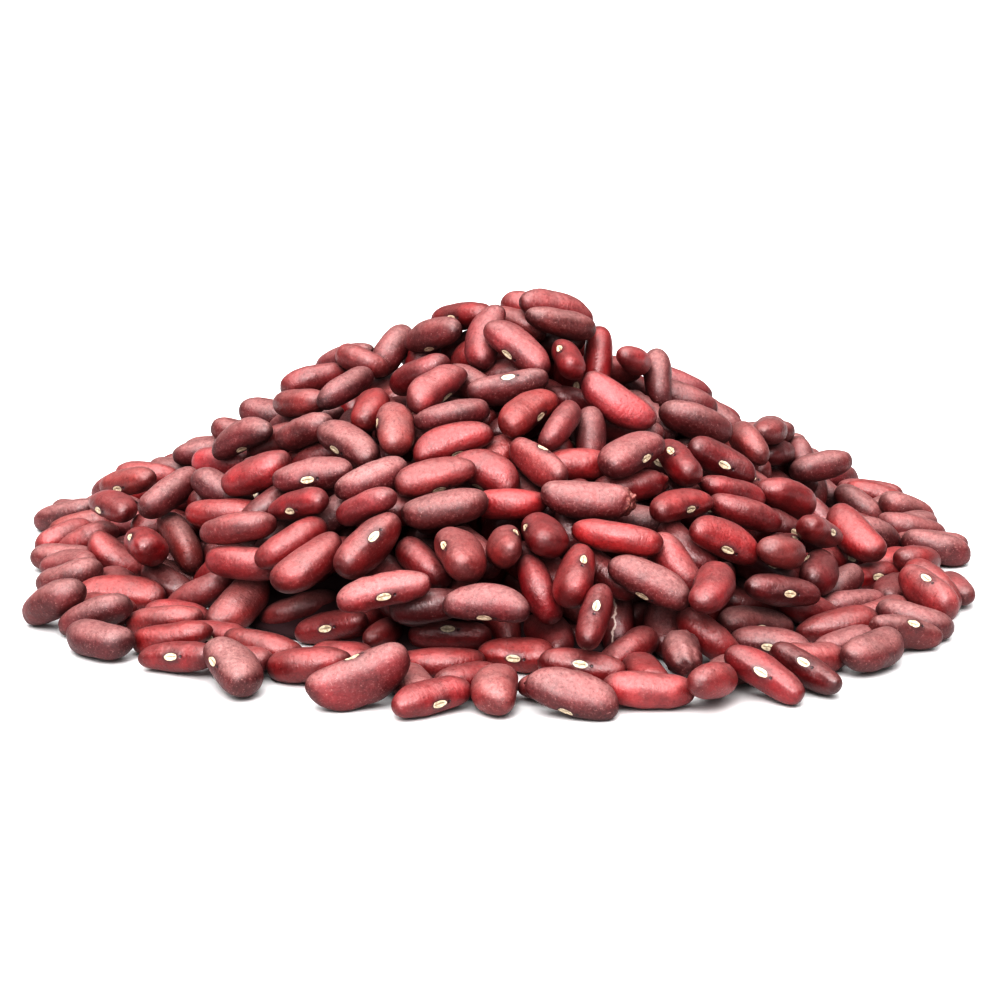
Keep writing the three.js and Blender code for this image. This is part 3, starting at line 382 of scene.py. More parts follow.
    (32.68, -26.45, 12.77, 0.6379, -0.5635, -0.2109, -0.4807, 15.6, 8.70, 6.84, 0.22, 2, 0, ""),
    (-71.18, 22.38, 5.30, 0.3495, -0.8535, 0.3565, 0.1495, 17.0, 8.56, 6.88, 0.40, 5, 1, "d"),
    (45.32, 3.59, 14.46, 0.3659, 0.8973, -0.1608, -0.1875, 18.9, 9.89, 7.63, 0.41, 2, 1, ""),
    (-61.53, 13.07, 4.51, 0.0748, 0.1191, 0.7573, 0.6377, 17.4, 8.95, 6.21, 0.23, 2, 1, ""),
    (26.64, -22.13, 17.22, 0.1266, 0.4587, 0.6368, -0.6066, 16.7, 8.79, 6.79, 0.22, 2, 1, ""),
    (17.43, 29.95, 29.20, 0.2826, 0.1320, -0.3890, 0.8668, 13.9, 7.20, 5.99, 0.18, 3, 1, ""),
    (-3.34, 40.22, 13.37, 0.8715, -0.3353, -0.3578, -0.0008, 16.9, 8.38, 7.18, 0.12, 3, 0, ""),
    (-17.37, 21.68, 20.86, 0.1632, 0.0930, 0.7797, 0.5974, 15.8, 8.37, 6.81, 0.33, 2, 0, ""),
    (-68.54, 12.30, 10.81, 0.0359, 0.2031, 0.9624, 0.1769, 17.3, 9.09, 6.19, 0.22, 2, 1, ""),
    (-52.15, -18.61, 6.35, 0.1041, -0.1353, -0.6646, -0.7274, 17.8, 9.66, 7.31, 0.28, 4, 1, "d"),
    (-1.98, 35.99, 34.02, 0.0831, -0.0065, 0.9539, -0.2884, 16.8, 8.13, 7.10, 0.25, 4, 1, "d"),
    (-37.68, -17.79, 13.96, 0.2332, -0.5010, -0.0738, -0.8301, 17.0, 8.66, 6.16, 0.33, 2, 1, ""),
    (-1.58, -23.31, 23.88, 0.6134, -0.4352, 0.3157, 0.5785, 17.7, 8.86, 7.22, 0.31, 5, 1, ""),
    (67.69, 59.34, 4.32, 0.3045, -0.4235, 0.6870, -0.5060, 17.1, 8.76, 6.46, 0.41, 3, 1, ""),
    (-22.23, 1.43, 25.03, 0.7364, -0.0298, 0.6109, 0.2893, 18.0, 9.04, 7.52, 0.28, 1, 1, ""),
    (21.46, -34.54, 14.73, 0.3819, 0.5108, 0.6875, -0.3471, 16.1, 8.65, 6.37, 0.27, 2, 1, ""),
    (-65.71, 39.62, 11.07, 0.7783, 0.1971, -0.5961, 0.0004, 15.5, 7.82, 6.64, 0.43, 4, 1, ""),
    (-53.57, 63.08, 9.04, 0.2612, 0.7677, -0.5766, -0.1000, 15.4, 7.83, 6.16, 0.49, 4, 1, "d"),
    (45.16, -38.70, 13.08, 0.3440, -0.2351, -0.0574, -0.9073, 17.2, 8.33, 7.01, 0.35, 5, 1, ""),
    (-24.97, 27.56, 15.88, 0.4614, -0.5558, -0.6911, 0.0230, 15.3, 8.95, 6.27, 0.31, 3, 0, ""),
    (-16.18, 41.46, 11.19, 0.7133, 0.1478, 0.5359, -0.4268, 17.0, 8.99, 6.63, 0.26, 4, 1, ""),
    (-2.45, -34.44, 30.66, 0.8781, 0.3368, -0.1963, 0.2775, 16.8, 7.82, 6.38, 0.27, 3, 1, ""),
    (-47.45, -7.74, 11.20, 0.5625, -0.3123, 0.4982, 0.5813, 16.5, 8.46, 6.09, 0.32, 4, 0, ""),
    (-7.99, 14.33, 26.75, 0.7276, -0.5739, 0.3216, 0.1944, 16.7, 8.24, 6.96, 0.40, 2, 1, ""),
    (-25.89, 60.66, 11.97, 0.1038, 0.2579, 0.0776, -0.9575, 16.2, 7.88, 7.22, 0.28, 4, 1, "w"),
    (31.71, 13.61, 25.70, 0.0939, -0.7469, 0.6426, -0.1425, 17.6, 9.30, 6.44, 0.32, 5, 1, "w"),
    (52.43, -11.70, 3.35, 0.6262, 0.0054, -0.0014, 0.7797, 15.3, 7.65, 6.70, 0.30, 3, 1, ""),
    (13.21, 96.78, 4.54, 0.0058, 0.0408, -0.8137, 0.5798, 17.4, 9.22, 6.96, 0.40, 3, 1, ""),
    (-9.57, 21.23, 32.75, 0.3696, -0.8112, -0.0396, -0.4515, 18.5, 8.64, 7.19, 0.31, 5, 1, ""),
    (30.18, 19.28, 14.90, 0.1630, -0.3212, 0.5950, 0.7185, 13.6, 7.20, 6.04, 0.37, 3, 0, ""),
    (-69.20, 1.44, 8.67, 0.6535, -0.4357, 0.5692, 0.2431, 16.7, 8.00, 6.94, 0.28, 2, 1, ""),
    (20.16, 70.38, 3.92, 0.5573, 0.1875, -0.2592, -0.7662, 17.1, 8.02, 7.73, 0.38, 4, 1, ""),
    (52.53, 26.20, 6.87, 0.8169, 0.4743, 0.2215, -0.2422, 16.4, 8.59, 6.81, 0.33, 4, 1, "w"),
    (-28.84, 31.58, 12.83, 0.4863, -0.4832, -0.7272, -0.0352, 16.2, 8.66, 6.52, 0.24, 5, 0, ""),
    (45.73, 63.90, 4.69, 0.6963, -0.7138, 0.0518, -0.0542, 16.3, 9.39, 6.34, 0.39, 3, 1, ""),
    (-38.69, -10.29, 15.30, 0.6311, -0.3657, -0.3995, -0.5553, 16.1, 7.86, 6.70, 0.25, 4, 1, ""),
    (-55.25, 50.99, 11.80, 0.8523, -0.0234, -0.2120, -0.4776, 16.8, 8.10, 6.79, 0.36, 3, 1, "d"),
    (-24.80, 61.13, 4.01, 0.4716, -0.4446, 0.5538, -0.5227, 15.6, 7.97, 6.80, 0.20, 1, 1, ""),
    (4.30, -49.07, 9.22, 0.6038, 0.2875, 0.3968, 0.6287, 16.5, 8.60, 6.22, 0.28, 3, 1, ""),
    (-9.76, -46.35, 24.20, 0.3097, 0.8341, 0.4033, 0.2139, 16.6, 8.23, 6.91, 0.28, 1, 1, ""),
    (-10.81, 74.40, 10.62, 0.9126, -0.3471, -0.1722, -0.1305, 17.9, 9.09, 6.98, 0.34, 3, 1, ""),
    (-15.01, 54.74, 4.22, 0.9922, 0.0130, -0.1238, 0.0079, 16.1, 8.91, 7.02, 0.34, 2, 0, ""),
    (-78.56, -0.15, 3.30, 0.8125, 0.2542, 0.1213, 0.5104, 14.2, 7.20, 5.94, 0.21, 1, 1, ""),
    (50.33, 72.94, 4.80, 0.6796, -0.6309, -0.3521, 0.1269, 16.3, 8.74, 6.15, 0.31, 5, 1, "d"),
    (-2.73, 22.08, 28.76, 0.2295, -0.4036, 0.7543, 0.4642, 15.2, 8.04, 6.73, 0.17, 5, 1, "d"),
    (41.35, 43.68, 13.04, 0.1856, -0.7805, 0.3172, -0.5057, 16.4, 8.91, 6.74, 0.31, 2, 1, "d"),
    (18.16, 53.77, 3.64, 0.5316, 0.4999, -0.4686, -0.4980, 13.9, 7.30, 5.93, 0.50, 5, 0, ""),
    (58.14, 37.53, 5.11, 0.5853, -0.5591, -0.0581, 0.5843, 15.7, 7.39, 6.54, 0.38, 4, 1, "d"),
    (-9.68, 52.80, 15.83, 0.3779, 0.6635, -0.5392, 0.3553, 15.8, 8.61, 6.63, 0.40, 4, 1, ""),
    (-41.39, 7.82, 27.26, 0.0510, 0.4457, 0.0085, -0.8937, 19.0, 9.68, 7.56, 0.27, 2, 1, ""),
    (-16.03, 2.98, 27.92, 0.2920, 0.7717, 0.0705, -0.5605, 15.1, 7.20, 6.36, 0.32, 3, 1, ""),
    (-20.73, 69.84, 13.13, 0.4253, 0.8693, -0.2456, -0.0556, 18.1, 8.51, 7.74, 0.36, 3, 1, ""),
    (33.40, 11.86, 14.81, 0.5984, -0.3945, 0.6760, 0.1713, 16.6, 9.41, 7.13, 0.27, 2, 0, ""),
    (-41.49, -9.11, 23.52, 0.3114, 0.4290, 0.8302, -0.1728, 16.0, 9.00, 5.90, 0.15, 3, 1, ""),
    (32.93, 48.29, 13.25, 0.1393, -0.7026, 0.6978, 0.0089, 16.5, 8.95, 6.97, 0.25, 5, 1, ""),
    (51.26, 54.85, 3.74, 0.6592, 0.5755, 0.3342, 0.3500, 15.4, 7.30, 6.47, 0.30, 5, 1, ""),
    (48.27, -2.94, 6.38, 0.3451, 0.8818, -0.1754, 0.2692, 16.3, 7.95, 6.64, 0.26, 5, 1, ""),
    (15.81, -29.83, 18.50, 0.1581, 0.5384, 0.6783, -0.4744, 16.2, 8.71, 7.06, 0.27, 3, 1, "d"),
    (-70.57, -6.11, 4.49, 0.2987, 0.1098, -0.2309, 0.9194, 16.1, 7.75, 7.01, 0.28, 2, 1, ""),
    (30.21, 56.21, 6.47, 0.7050, -0.0313, -0.5851, 0.3995, 15.9, 8.23, 6.66, 0.31, 5, 1, ""),
    (7.35, -58.60, 16.02, 0.8905, 0.2876, 0.0485, -0.3492, 16.3, 8.31, 7.13, 0.31, 3, 1, ""),
    (14.19, -47.74, 22.91, 0.4151, 0.6313, 0.0905, 0.6488, 17.5, 8.70, 7.34, 0.26, 1, 1, ""),
    (-34.23, 3.17, 18.98, 0.4158, 0.0803, -0.8642, 0.2716, 15.6, 8.37, 6.65, 0.23, 1, 1, ""),
    (56.85, 19.10, 6.48, 0.1684, -0.2018, -0.8049, -0.5320, 15.8, 8.66, 6.91, 0.41, 2, 1, ""),
    (24.04, -28.23, 16.35, 0.5775, 0.6502, -0.4776, 0.1253, 16.8, 9.04, 6.77, 0.36, 3, 0, ""),
    (47.11, -30.27, 16.43, 0.4551, -0.8428, 0.2552, -0.1324, 14.6, 7.85, 6.11, 0.28, 2, 1, ""),
    (49.85, 33.46, 12.61, 0.0251, -0.2330, -0.6761, 0.6985, 17.1, 8.56, 7.17, 0.42, 5, 1, ""),
    (-7.68, 65.32, 9.12, 0.0314, -0.4919, 0.8624, -0.1154, 15.6, 7.71, 5.95, 0.24, 4, 1, ""),
    (15.31, 10.93, 25.66, 0.9202, -0.3796, -0.0316, -0.0906, 17.7, 8.71, 7.65, 0.36, 5, 0, ""),
    (23.13, 1.75, 29.09, 0.7980, -0.3172, -0.0902, 0.5045, 15.0, 7.62, 6.39, 0.41, 3, 1, ""),
    (-66.13, 55.52, 9.22, 0.3433, -0.2668, 0.6096, -0.6629, 17.6, 8.57, 7.27, 0.13, 5, 1, "w"),
    (37.13, -31.59, 8.90, 0.2891, -0.2790, 0.3660, 0.8394, 16.8, 9.16, 7.07, 0.33, 5, 0, "w"),
    (24.78, -39.39, 11.19, 0.2208, -0.5361, -0.0217, 0.8145, 15.9, 7.50, 6.10, 0.38, 5, 1, "w"),
    (-43.93, 39.20, 4.61, 0.2421, 0.1895, 0.5652, 0.7656, 19.4, 9.30, 7.39, 0.12, 2, 0, ""),
    (-68.21, 64.33, 3.58, 0.1169, 0.4214, 0.8597, 0.2641, 16.1, 7.37, 6.90, 0.36, 5, 1, ""),
    (22.18, 44.56, 7.24, 0.3017, -0.2149, 0.8818, 0.2919, 15.6, 8.12, 6.01, 0.27, 2, 0, ""),
    (39.71, 54.15, 18.94, 0.7844, 0.0266, -0.0077, -0.6197, 18.1, 9.35, 7.37, 0.29, 5, 1, "d"),
    (-60.53, 3.02, 8.11, 0.5003, 0.4003, -0.5502, 0.5355, 15.0, 8.81, 5.83, 0.44, 2, 1, ""),
    (-23.88, 39.59, 14.73, 0.6634, -0.4569, -0.5569, -0.2023, 14.1, 7.23, 6.08, 0.28, 2, 0, "d"),
    (-58.93, 64.40, 3.54, 0.0178, -0.8949, 0.4443, 0.0365, 16.5, 8.69, 6.80, 0.34, 2, 1, ""),
    (-50.38, -29.50, 3.86, 0.4485, 0.8238, 0.3004, 0.1732, 15.7, 8.06, 6.51, 0.50, 1, 1, ""),
    (-47.99, 64.13, 4.29, 0.4316, -0.3842, -0.4259, 0.6962, 16.5, 8.29, 7.10, 0.30, 3, 1, "w"),
    (-3.97, -17.16, 26.92, 0.4713, 0.7657, -0.3548, 0.2564, 17.6, 8.87, 7.19, 0.17, 3, 0, ""),
    (-48.17, 3.44, 11.67, 0.7156, 0.5974, 0.2630, -0.2489, 17.2, 8.05, 7.12, 0.22, 4, 1, ""),
    (42.64, 44.29, 3.51, 0.0037, 0.7565, -0.6539, 0.0044, 17.1, 8.94, 7.02, 0.30, 3, 1, ""),
    (-5.69, -55.00, 18.39, 0.4698, 0.2213, 0.1637, 0.8388, 15.5, 8.46, 7.08, 0.40, 2, 1, "d"),
    (-11.66, 7.35, 28.74, 0.5288, 0.0076, -0.7562, 0.3854, 15.0, 8.43, 6.29, 0.21, 3, 1, ""),
    (8.49, -42.29, 12.88, 0.0687, 0.7148, 0.5483, -0.4287, 17.8, 9.19, 7.32, 0.50, 1, 1, ""),
    (14.27, 0.80, 41.07, 0.7213, 0.0616, 0.6172, 0.3084, 16.5, 8.09, 6.16, 0.17, 2, 1, ""),
    (-26.30, 11.02, 21.69, 0.6806, -0.0677, 0.5903, 0.4287, 14.4, 7.68, 6.15, 0.30, 2, 1, ""),
    (27.94, 59.45, 17.49, 0.7214, -0.0801, -0.0665, -0.6847, 15.8, 8.48, 6.35, 0.21, 3, 1, ""),
    (-2.53, 44.92, 21.68, 0.3031, 0.9400, 0.1509, 0.0414, 18.6, 9.29, 7.19, 0.20, 1, 1, ""),
    (-57.92, 40.51, 12.05, 0.0163, -0.6692, 0.3586, -0.6506, 15.3, 8.43, 6.08, 0.39, 2, 1, ""),
    (0.01, 16.89, 38.75, 0.3588, 0.2905, -0.7376, -0.4929, 18.2, 9.54, 7.27, 0.27, 3, 1, ""),
    (-4.96, 58.80, 21.60, 0.4855, -0.3003, 0.0628, -0.8187, 15.2, 8.07, 6.86, 0.35, 5, 1, ""),
    (-14.37, -40.12, 12.81, 0.2348, 0.5914, -0.5729, 0.5166, 17.8, 9.45, 6.78, 0.36, 1, 0, ""),
    (-37.96, 78.09, 3.67, 0.0533, 0.3328, 0.9413, -0.0201, 16.1, 8.41, 6.92, 0.15, 2, 1, ""),
    (-86.43, 38.33, 3.16, 0.0029, 0.2420, 0.9703, -0.0016, 15.1, 7.67, 6.31, 0.21, 5, 1, "d"),
    (-44.62, -2.76, 13.51, 0.5143, 0.7504, 0.2099, -0.3583, 15.3, 7.81, 5.98, 0.21, 4, 1, ""),
    (26.33, 66.40, 8.14, 0.7040, -0.0681, -0.5868, 0.3942, 17.4, 9.08, 6.93, 0.24, 2, 1, ""),
    (69.11, 48.59, 3.55, 0.9760, 0.0081, -0.0021, 0.2175, 16.8, 8.96, 7.11, 0.24, 1, 1, "d"),
    (-7.12, 80.75, 3.22, 0.0131, -0.5185, -0.8549, -0.0083, 17.0, 8.71, 6.38, 0.50, 4, 1, ""),
    (57.02, 46.08, 6.93, 0.5524, -0.3625, -0.1447, -0.7365, 18.1, 8.63, 7.05, 0.33, 1, 1, ""),
    (-7.69, 1.56, 31.88, 0.8711, 0.4307, 0.2264, -0.0667, 17.0, 8.13, 6.72, 0.31, 3, 1, ""),
    (44.86, 30.54, 17.48, 0.0335, -0.6745, -0.6420, -0.3631, 16.7, 8.64, 6.82, 0.40, 1, 1, "d"),
    (-19.42, -50.65, 5.52, 0.3717, -0.7718, -0.0904, 0.5079, 14.5, 8.04, 6.60, 0.35, 2, 1, ""),
    (58.99, 13.97, 10.89, 0.7281, 0.6832, 0.0514, -0.0203, 15.8, 7.34, 6.54, 0.21, 3, 1, ""),
    (-56.53, 35.24, 3.92, 0.3989, -0.2794, 0.5322, -0.6925, 15.9, 7.87, 6.51, 0.21, 2, 0, ""),
    (46.79, 4.80, 21.72, 0.2992, 0.2830, -0.9056, 0.1017, 15.9, 8.98, 6.14, 0.29, 3, 1, ""),
    (-15.30, -20.88, 22.34, 0.6413, -0.4497, 0.3132, 0.5370, 13.6, 7.64, 6.41, 0.24, 4, 0, ""),
    (-26.22, -4.15, 22.71, 0.7492, -0.0303, 0.6043, 0.2693, 14.2, 7.58, 5.97, 0.22, 3, 1, ""),
    (-2.34, 57.76, 12.85, 0.0703, -0.7037, 0.4574, -0.5391, 16.1, 8.80, 6.76, 0.33, 3, 1, ""),
    (10.39, 46.15, 17.23, 0.7156, -0.5509, -0.1555, -0.4004, 15.3, 8.25, 6.36, 0.39, 5, 1, ""),
    (21.56, 15.45, 20.72, 0.8237, 0.5562, -0.0345, -0.1046, 16.6, 7.98, 6.90, 0.33, 3, 0, ""),
    (-26.39, -22.90, 17.40, 0.0970, -0.5503, 0.1443, -0.8167, 15.5, 8.31, 6.46, 0.20, 4, 0, ""),
    (0.49, -35.34, 17.12, 0.6554, -0.4529, 0.3025, 0.5234, 17.8, 8.02, 7.21, 0.21, 2, 0, ""),
    (-23.67, -45.44, 7.83, 0.0087, -0.4945, 0.5789, -0.6483, 15.6, 7.74, 6.80, 0.31, 1, 1, ""),
    (-63.44, 46.43, 12.59, 0.7291, -0.6190, -0.2242, -0.1871, 14.3, 7.82, 6.12, 0.31, 3, 1, ""),
    (-79.70, 53.78, 3.46, 0.3996, -0.0025, 0.0019, 0.9167, 16.2, 8.36, 6.92, 0.49, 2, 1, ""),
    (62.94, 38.26, 10.58, 0.2037, -0.7616, -0.4767, 0.3888, 16.1, 8.03, 6.66, 0.36, 3, 1, ""),
    (24.99, -16.57, 33.11, 0.9085, -0.3974, 0.1289, -0.0022, 16.5, 8.39, 6.14, 0.38, 4, 1, ""),
    (-14.23, -47.44, 12.14, 0.2420, 0.6014, -0.5950, 0.4751, 15.4, 8.46, 6.84, 0.21, 1, 1, ""),
    (-46.56, 70.87, 10.83, 0.1564, 0.2609, 0.9258, -0.2246, 15.2, 7.91, 6.26, 0.25, 2, 1, "w"),
    (19.18, 64.09, 12.24, 0.3639, -0.1437, -0.6196, 0.6805, 17.9, 8.92, 7.54, 0.31, 5, 1, "d"),
    (11.38, -17.61, 26.00, 0.8363, 0.1324, 0.5285, 0.0613, 17.0, 8.62, 6.88, 0.33, 3, 0, ""),
    (-53.11, -0.72, 8.88, 0.4011, 0.2453, -0.8331, 0.2915, 15.9, 7.80, 6.11, 0.33, 1, 1, ""),
    (-31.31, -16.68, 17.24, 0.7015, -0.4497, 0.3457, 0.4316, 15.5, 8.65, 6.35, 0.34, 4, 0, ""),
    (38.00, 15.87, 11.34, 0.2870, 0.5900, 0.3034, -0.6910, 14.7, 7.80, 6.29, 0.44, 5, 0, ""),
    (-36.06, 60.72, 3.51, 0.0743, -0.0391, 0.0035, 0.9965, 15.7, 7.76, 6.78, 0.29, 3, 0, ""),
    (13.47, 89.13, 3.34, 0.0014, 0.9998, 0.0209, 0.0072, 16.5, 8.61, 6.67, 0.25, 5, 1, ""),
    (-62.31, 43.57, 3.90, 0.5310, -0.3359, -0.5407, 0.5593, 14.5, 7.45, 6.70, 0.33, 5, 1, ""),
    (-42.81, -22.16, 10.07, 0.4000, -0.7861, 0.1811, 0.4350, 19.4, 9.43, 7.28, 0.45, 2, 1, ""),
    (4.21, -22.98, 35.82, 0.4303, 0.0456, 0.1183, -0.8938, 17.1, 7.92, 6.88, 0.28, 1, 1, ""),
    (22.71, -27.77, 25.19, 0.5466, -0.4246, -0.1852, 0.6976, 16.8, 8.70, 6.11, 0.35, 5, 1, ""),
    (-32.19, -23.11, 14.68, 0.1415, -0.7763, -0.0801, 0.6090, 15.0, 7.95, 6.11, 0.30, 5, 0, ""),
    (-11.89, 48.59, 26.10, 0.0100, -0.9968, -0.0006, -0.0792, 18.1, 9.15, 7.15, 0.20, 2, 1, ""),
    (-36.20, 30.12, 10.91, 0.0069, 0.7466, -0.1553, -0.6469, 16.8, 8.56, 7.11, 0.37, 5, 0, "d"),
    (39.46, 4.88, 30.25, 0.7521, 0.1266, 0.3759, 0.5263, 16.2, 8.52, 6.85, 0.34, 5, 1, ""),
    (8.22, -31.46, 18.96, 0.2508, -0.7360, 0.0434, -0.6272, 17.7, 8.92, 6.60, 0.40, 2, 0, ""),
    (12.37, 73.68, 9.95, 0.3210, -0.1872, -0.0921, -0.9238, 15.9, 7.99, 6.94, 0.30, 1, 1, ""),
    (5.85, 53.80, 18.57, 0.2493, 0.3074, -0.5128, 0.7619, 15.5, 8.07, 6.42, 0.28, 4, 1, ""),
    (9.99, 36.48, 21.78, 0.0077, -0.4030, -0.9049, 0.1366, 18.3, 9.19, 6.26, 0.28, 4, 1, ""),
    (-9.19, 62.93, 15.62, 0.6640, -0.0588, -0.1672, -0.7264, 14.3, 7.32, 5.88, 0.31, 5, 1, ""),
    (-24.80, 37.74, 25.18, 0.2942, 0.4728, 0.1900, -0.8086, 14.2, 7.51, 6.03, 0.36, 1, 1, "w"),
    (43.52, 11.45, 8.69, 0.1757, 0.3682, -0.5303, -0.7432, 16.6, 8.32, 7.27, 0.34, 2, 0, ""),
    (-12.57, 95.42, 3.08, 0.0270, -0.5860, -0.8096, -0.0204, 14.2, 7.57, 6.00, 0.32, 5, 1, "w"),
    (-27.30, 84.96, 3.38, 0.3985, 0.0113, 0.0057, -0.9171, 16.3, 8.44, 6.72, 0.31, 2, 1, ""),
    (-60.29, 23.94, 4.68, 0.7099, -0.6474, 0.2119, -0.1788, 18.3, 9.32, 7.54, 0.33, 5, 1, ""),
    (-37.20, 19.98, 22.47, 0.4090, 0.4129, -0.0782, -0.8100, 16.3, 8.56, 6.42, 0.35, 4, 1, ""),
    (5.58, -40.01, 25.13, 0.2159, 0.8156, -0.4405, -0.3069, 17.4, 8.61, 6.41, 0.43, 1, 1, "w"),
    (-38.78, 66.01, 8.34, 0.9135, -0.0321, -0.1693, -0.3686, 14.2, 7.60, 5.97, 0.39, 3, 1, "d"),
    (39.29, -36.11, 20.77, 0.9552, -0.2514, 0.0968, 0.1225, 18.1, 8.71, 7.65, 0.35, 1, 1, ""),
    (-73.62, 37.33, 7.45, 0.4717, 0.3194, 0.7171, -0.4016, 16.4, 8.56, 6.74, 0.41, 4, 1, ""),
    (-50.82, -10.24, 21.59, 0.3534, 0.5259, 0.7687, -0.0873, 15.9, 8.49, 6.52, 0.12, 5, 1, ""),
    (-41.99, 24.40, 10.77, 0.4083, -0.1887, -0.8902, 0.0726, 15.5, 8.02, 6.38, 0.31, 5, 1, ""),
    (12.22, -55.10, 10.38, 0.3581, 0.2852, -0.0683, 0.8864, 16.1, 8.43, 6.36, 0.37, 4, 1, ""),
    (-57.99, 76.17, 3.37, 0.4449, 0.0061, -0.0030, 0.8956, 15.7, 8.17, 6.73, 0.31, 5, 1, ""),
    (-9.96, -21.39, 30.20, 0.0097, 0.4663, 0.8189, -0.3346, 15.4, 7.55, 6.38, 0.34, 2, 1, ""),
    (10.28, 36.94, 28.51, 0.2732, -0.0802, -0.1469, -0.9473, 16.2, 9.04, 6.85, 0.36, 4, 1, ""),
    (-41.04, 10.72, 14.78, 0.7937, 0.4000, 0.3684, 0.2727, 15.0, 8.30, 6.17, 0.33, 4, 1, ""),
    (-15.10, -34.14, 15.78, 0.5433, -0.4849, 0.2794, 0.6258, 16.1, 8.18, 6.56, 0.35, 2, 0, ""),
    (-33.73, 23.71, 14.48, 0.5146, 0.4924, -0.2329, 0.6622, 17.5, 8.99, 7.27, 0.24, 3, 1, "w"),
    (-17.74, 82.81, 3.35, 0.6909, 0.0139, -0.0121, 0.7227, 16.3, 8.02, 6.63, 0.39, 1, 1, ""),
    (-70.24, 8.29, 3.77, 0.0565, -0.9886, 0.1049, -0.0924, 16.4, 7.94, 6.73, 0.25, 3, 1, ""),
    (-49.05, 51.49, 5.75, 0.4400, 0.7169, -0.5374, -0.0602, 17.0, 9.70, 6.05, 0.19, 3, 1, ""),
    (-17.67, 84.66, 9.35, 0.0046, 0.9283, -0.3716, 0.0110, 15.2, 8.02, 5.70, 0.31, 1, 1, ""),
    (-12.31, -4.69, 29.17, 0.2923, -0.1313, 0.6262, 0.7107, 16.0, 7.83, 6.57, 0.21, 2, 0, ""),
    (-57.40, 51.19, 3.54, 0.0033, 0.4805, 0.8770, 0.0019, 17.5, 8.54, 7.08, 0.34, 3, 1, ""),
    (-0.34, -29.31, 20.52, 0.5518, -0.3096, -0.4480, -0.6316, 16.5, 9.11, 7.02, 0.39, 3, 0, ""),
    (28.82, 94.57, 3.20, 0.9989, 0.0015, -0.0039, 0.0477, 15.7, 8.12, 6.39, 0.23, 5, 1, "d"),
    (48.51, 47.93, 10.48, 0.6541, 0.1267, -0.1346, -0.7335, 18.4, 8.46, 7.18, 0.32, 3, 1, ""),
    (3.18, 29.24, 37.71, 0.4890, -0.1974, -0.8475, 0.0612, 16.6, 7.80, 7.02, 0.28, 5, 1, ""),
    (-7.59, -36.10, 16.09, 0.5685, -0.4824, 0.3015, 0.5943, 14.1, 8.10, 6.26, 0.37, 1, 1, ""),
    (-34.55, 90.22, 3.48, 0.2834, -0.0019, -0.0003, -0.9590, 18.1, 8.90, 6.95, 0.35, 5, 1, ""),
    (-16.73, -30.60, 24.55, 0.7834, 0.3399, 0.5015, 0.1384, 16.9, 8.58, 6.70, 0.34, 3, 1, "w"),
    (62.17, -2.27, 3.38, 0.0130, 0.2017, -0.9793, -0.0114, 16.3, 8.22, 6.73, 0.37, 4, 1, ""),
    (-11.72, 4.93, 39.06, 0.0293, -0.1396, 0.9407, -0.3078, 16.5, 8.69, 6.40, 0.28, 3, 1, ""),
    (19.96, 81.38, 7.73, 0.7514, 0.2315, -0.6174, -0.0233, 15.4, 7.94, 6.15, 0.29, 2, 1, ""),
    (-30.09, 27.39, 32.13, 0.0246, -0.9852, -0.0718, -0.1537, 15.0, 8.08, 6.38, 0.34, 2, 1, ""),
    (-7.95, 28.51, 36.58, 0.9789, -0.1639, 0.0272, -0.1187, 16.3, 8.45, 6.67, 0.41, 1, 1, ""),
    (10.38, 69.44, 3.33, 0.0044, 0.9139, 0.4058, -0.0075, 16.0, 8.43, 6.64, 0.18, 3, 1, ""),
    (1.06, 67.19, 13.26, 0.2297, 0.0790, -0.8089, 0.5354, 15.1, 8.08, 6.91, 0.30, 5, 1, ""),
    (20.45, 43.78, 27.74, 0.4356, -0.0503, 0.1101, 0.8920, 16.5, 8.78, 7.00, 0.27, 1, 1, ""),
    (58.01, 70.76, 4.03, 0.6238, -0.7177, -0.2408, 0.1944, 16.3, 8.14, 7.07, 0.37, 5, 1, ""),
    (3.94, 78.68, 11.97, 0.0580, -0.8471, -0.5114, 0.1323, 16.7, 9.16, 6.80, 0.19, 2, 1, "d"),
    (53.56, -5.89, 16.39, 0.4761, -0.8134, 0.3163, 0.1080, 16.9, 9.44, 6.80, 0.32, 2, 1, ""),
    (46.77, -16.68, 6.26, 0.3567, 0.2606, 0.7271, -0.5255, 13.6, 8.01, 5.76, 0.43, 4, 1, ""),
    (49.42, -12.61, 20.84, 0.8947, -0.3856, 0.1110, 0.1960, 15.3, 7.69, 6.41, 0.21, 4, 1, ""),
    (29.17, -12.82, 25.46, 0.8711, -0.2407, -0.1321, 0.4072, 16.4, 8.39, 6.65, 0.42, 4, 1, ""),
    (-81.30, 25.44, 4.47, 0.4095, 0.2382, 0.4860, 0.7344, 15.9, 8.99, 6.13, 0.34, 2, 1, "d"),
    (-4.30, -11.08, 29.94, 0.3923, 0.5537, 0.6183, -0.3965, 16.3, 8.41, 6.67, 0.39, 3, 0, ""),
    (52.49, -21.86, 4.97, 0.5237, -0.8125, -0.1789, -0.1831, 16.5, 8.31, 6.52, 0.46, 5, 1, ""),
    (75.48, 19.57, 3.40, 0.0163, 0.0600, 0.9662, 0.2502, 15.1, 7.93, 6.38, 0.27, 3, 1, ""),
    (12.56, -27.41, 27.74, 0.1735, -0.6181, 0.1423, -0.7534, 15.7, 8.56, 6.39, 0.26, 3, 1, ""),
    (67.70, 5.75, 7.57, 0.5315, 0.7156, 0.0533, -0.4501, 16.9, 8.22, 5.74, 0.29, 2, 1, ""),
    (-23.06, 18.83, 29.67, 0.9738, -0.1645, 0.0081, -0.1569, 18.6, 10.20, 7.68, 0.28, 4, 1, "w"),
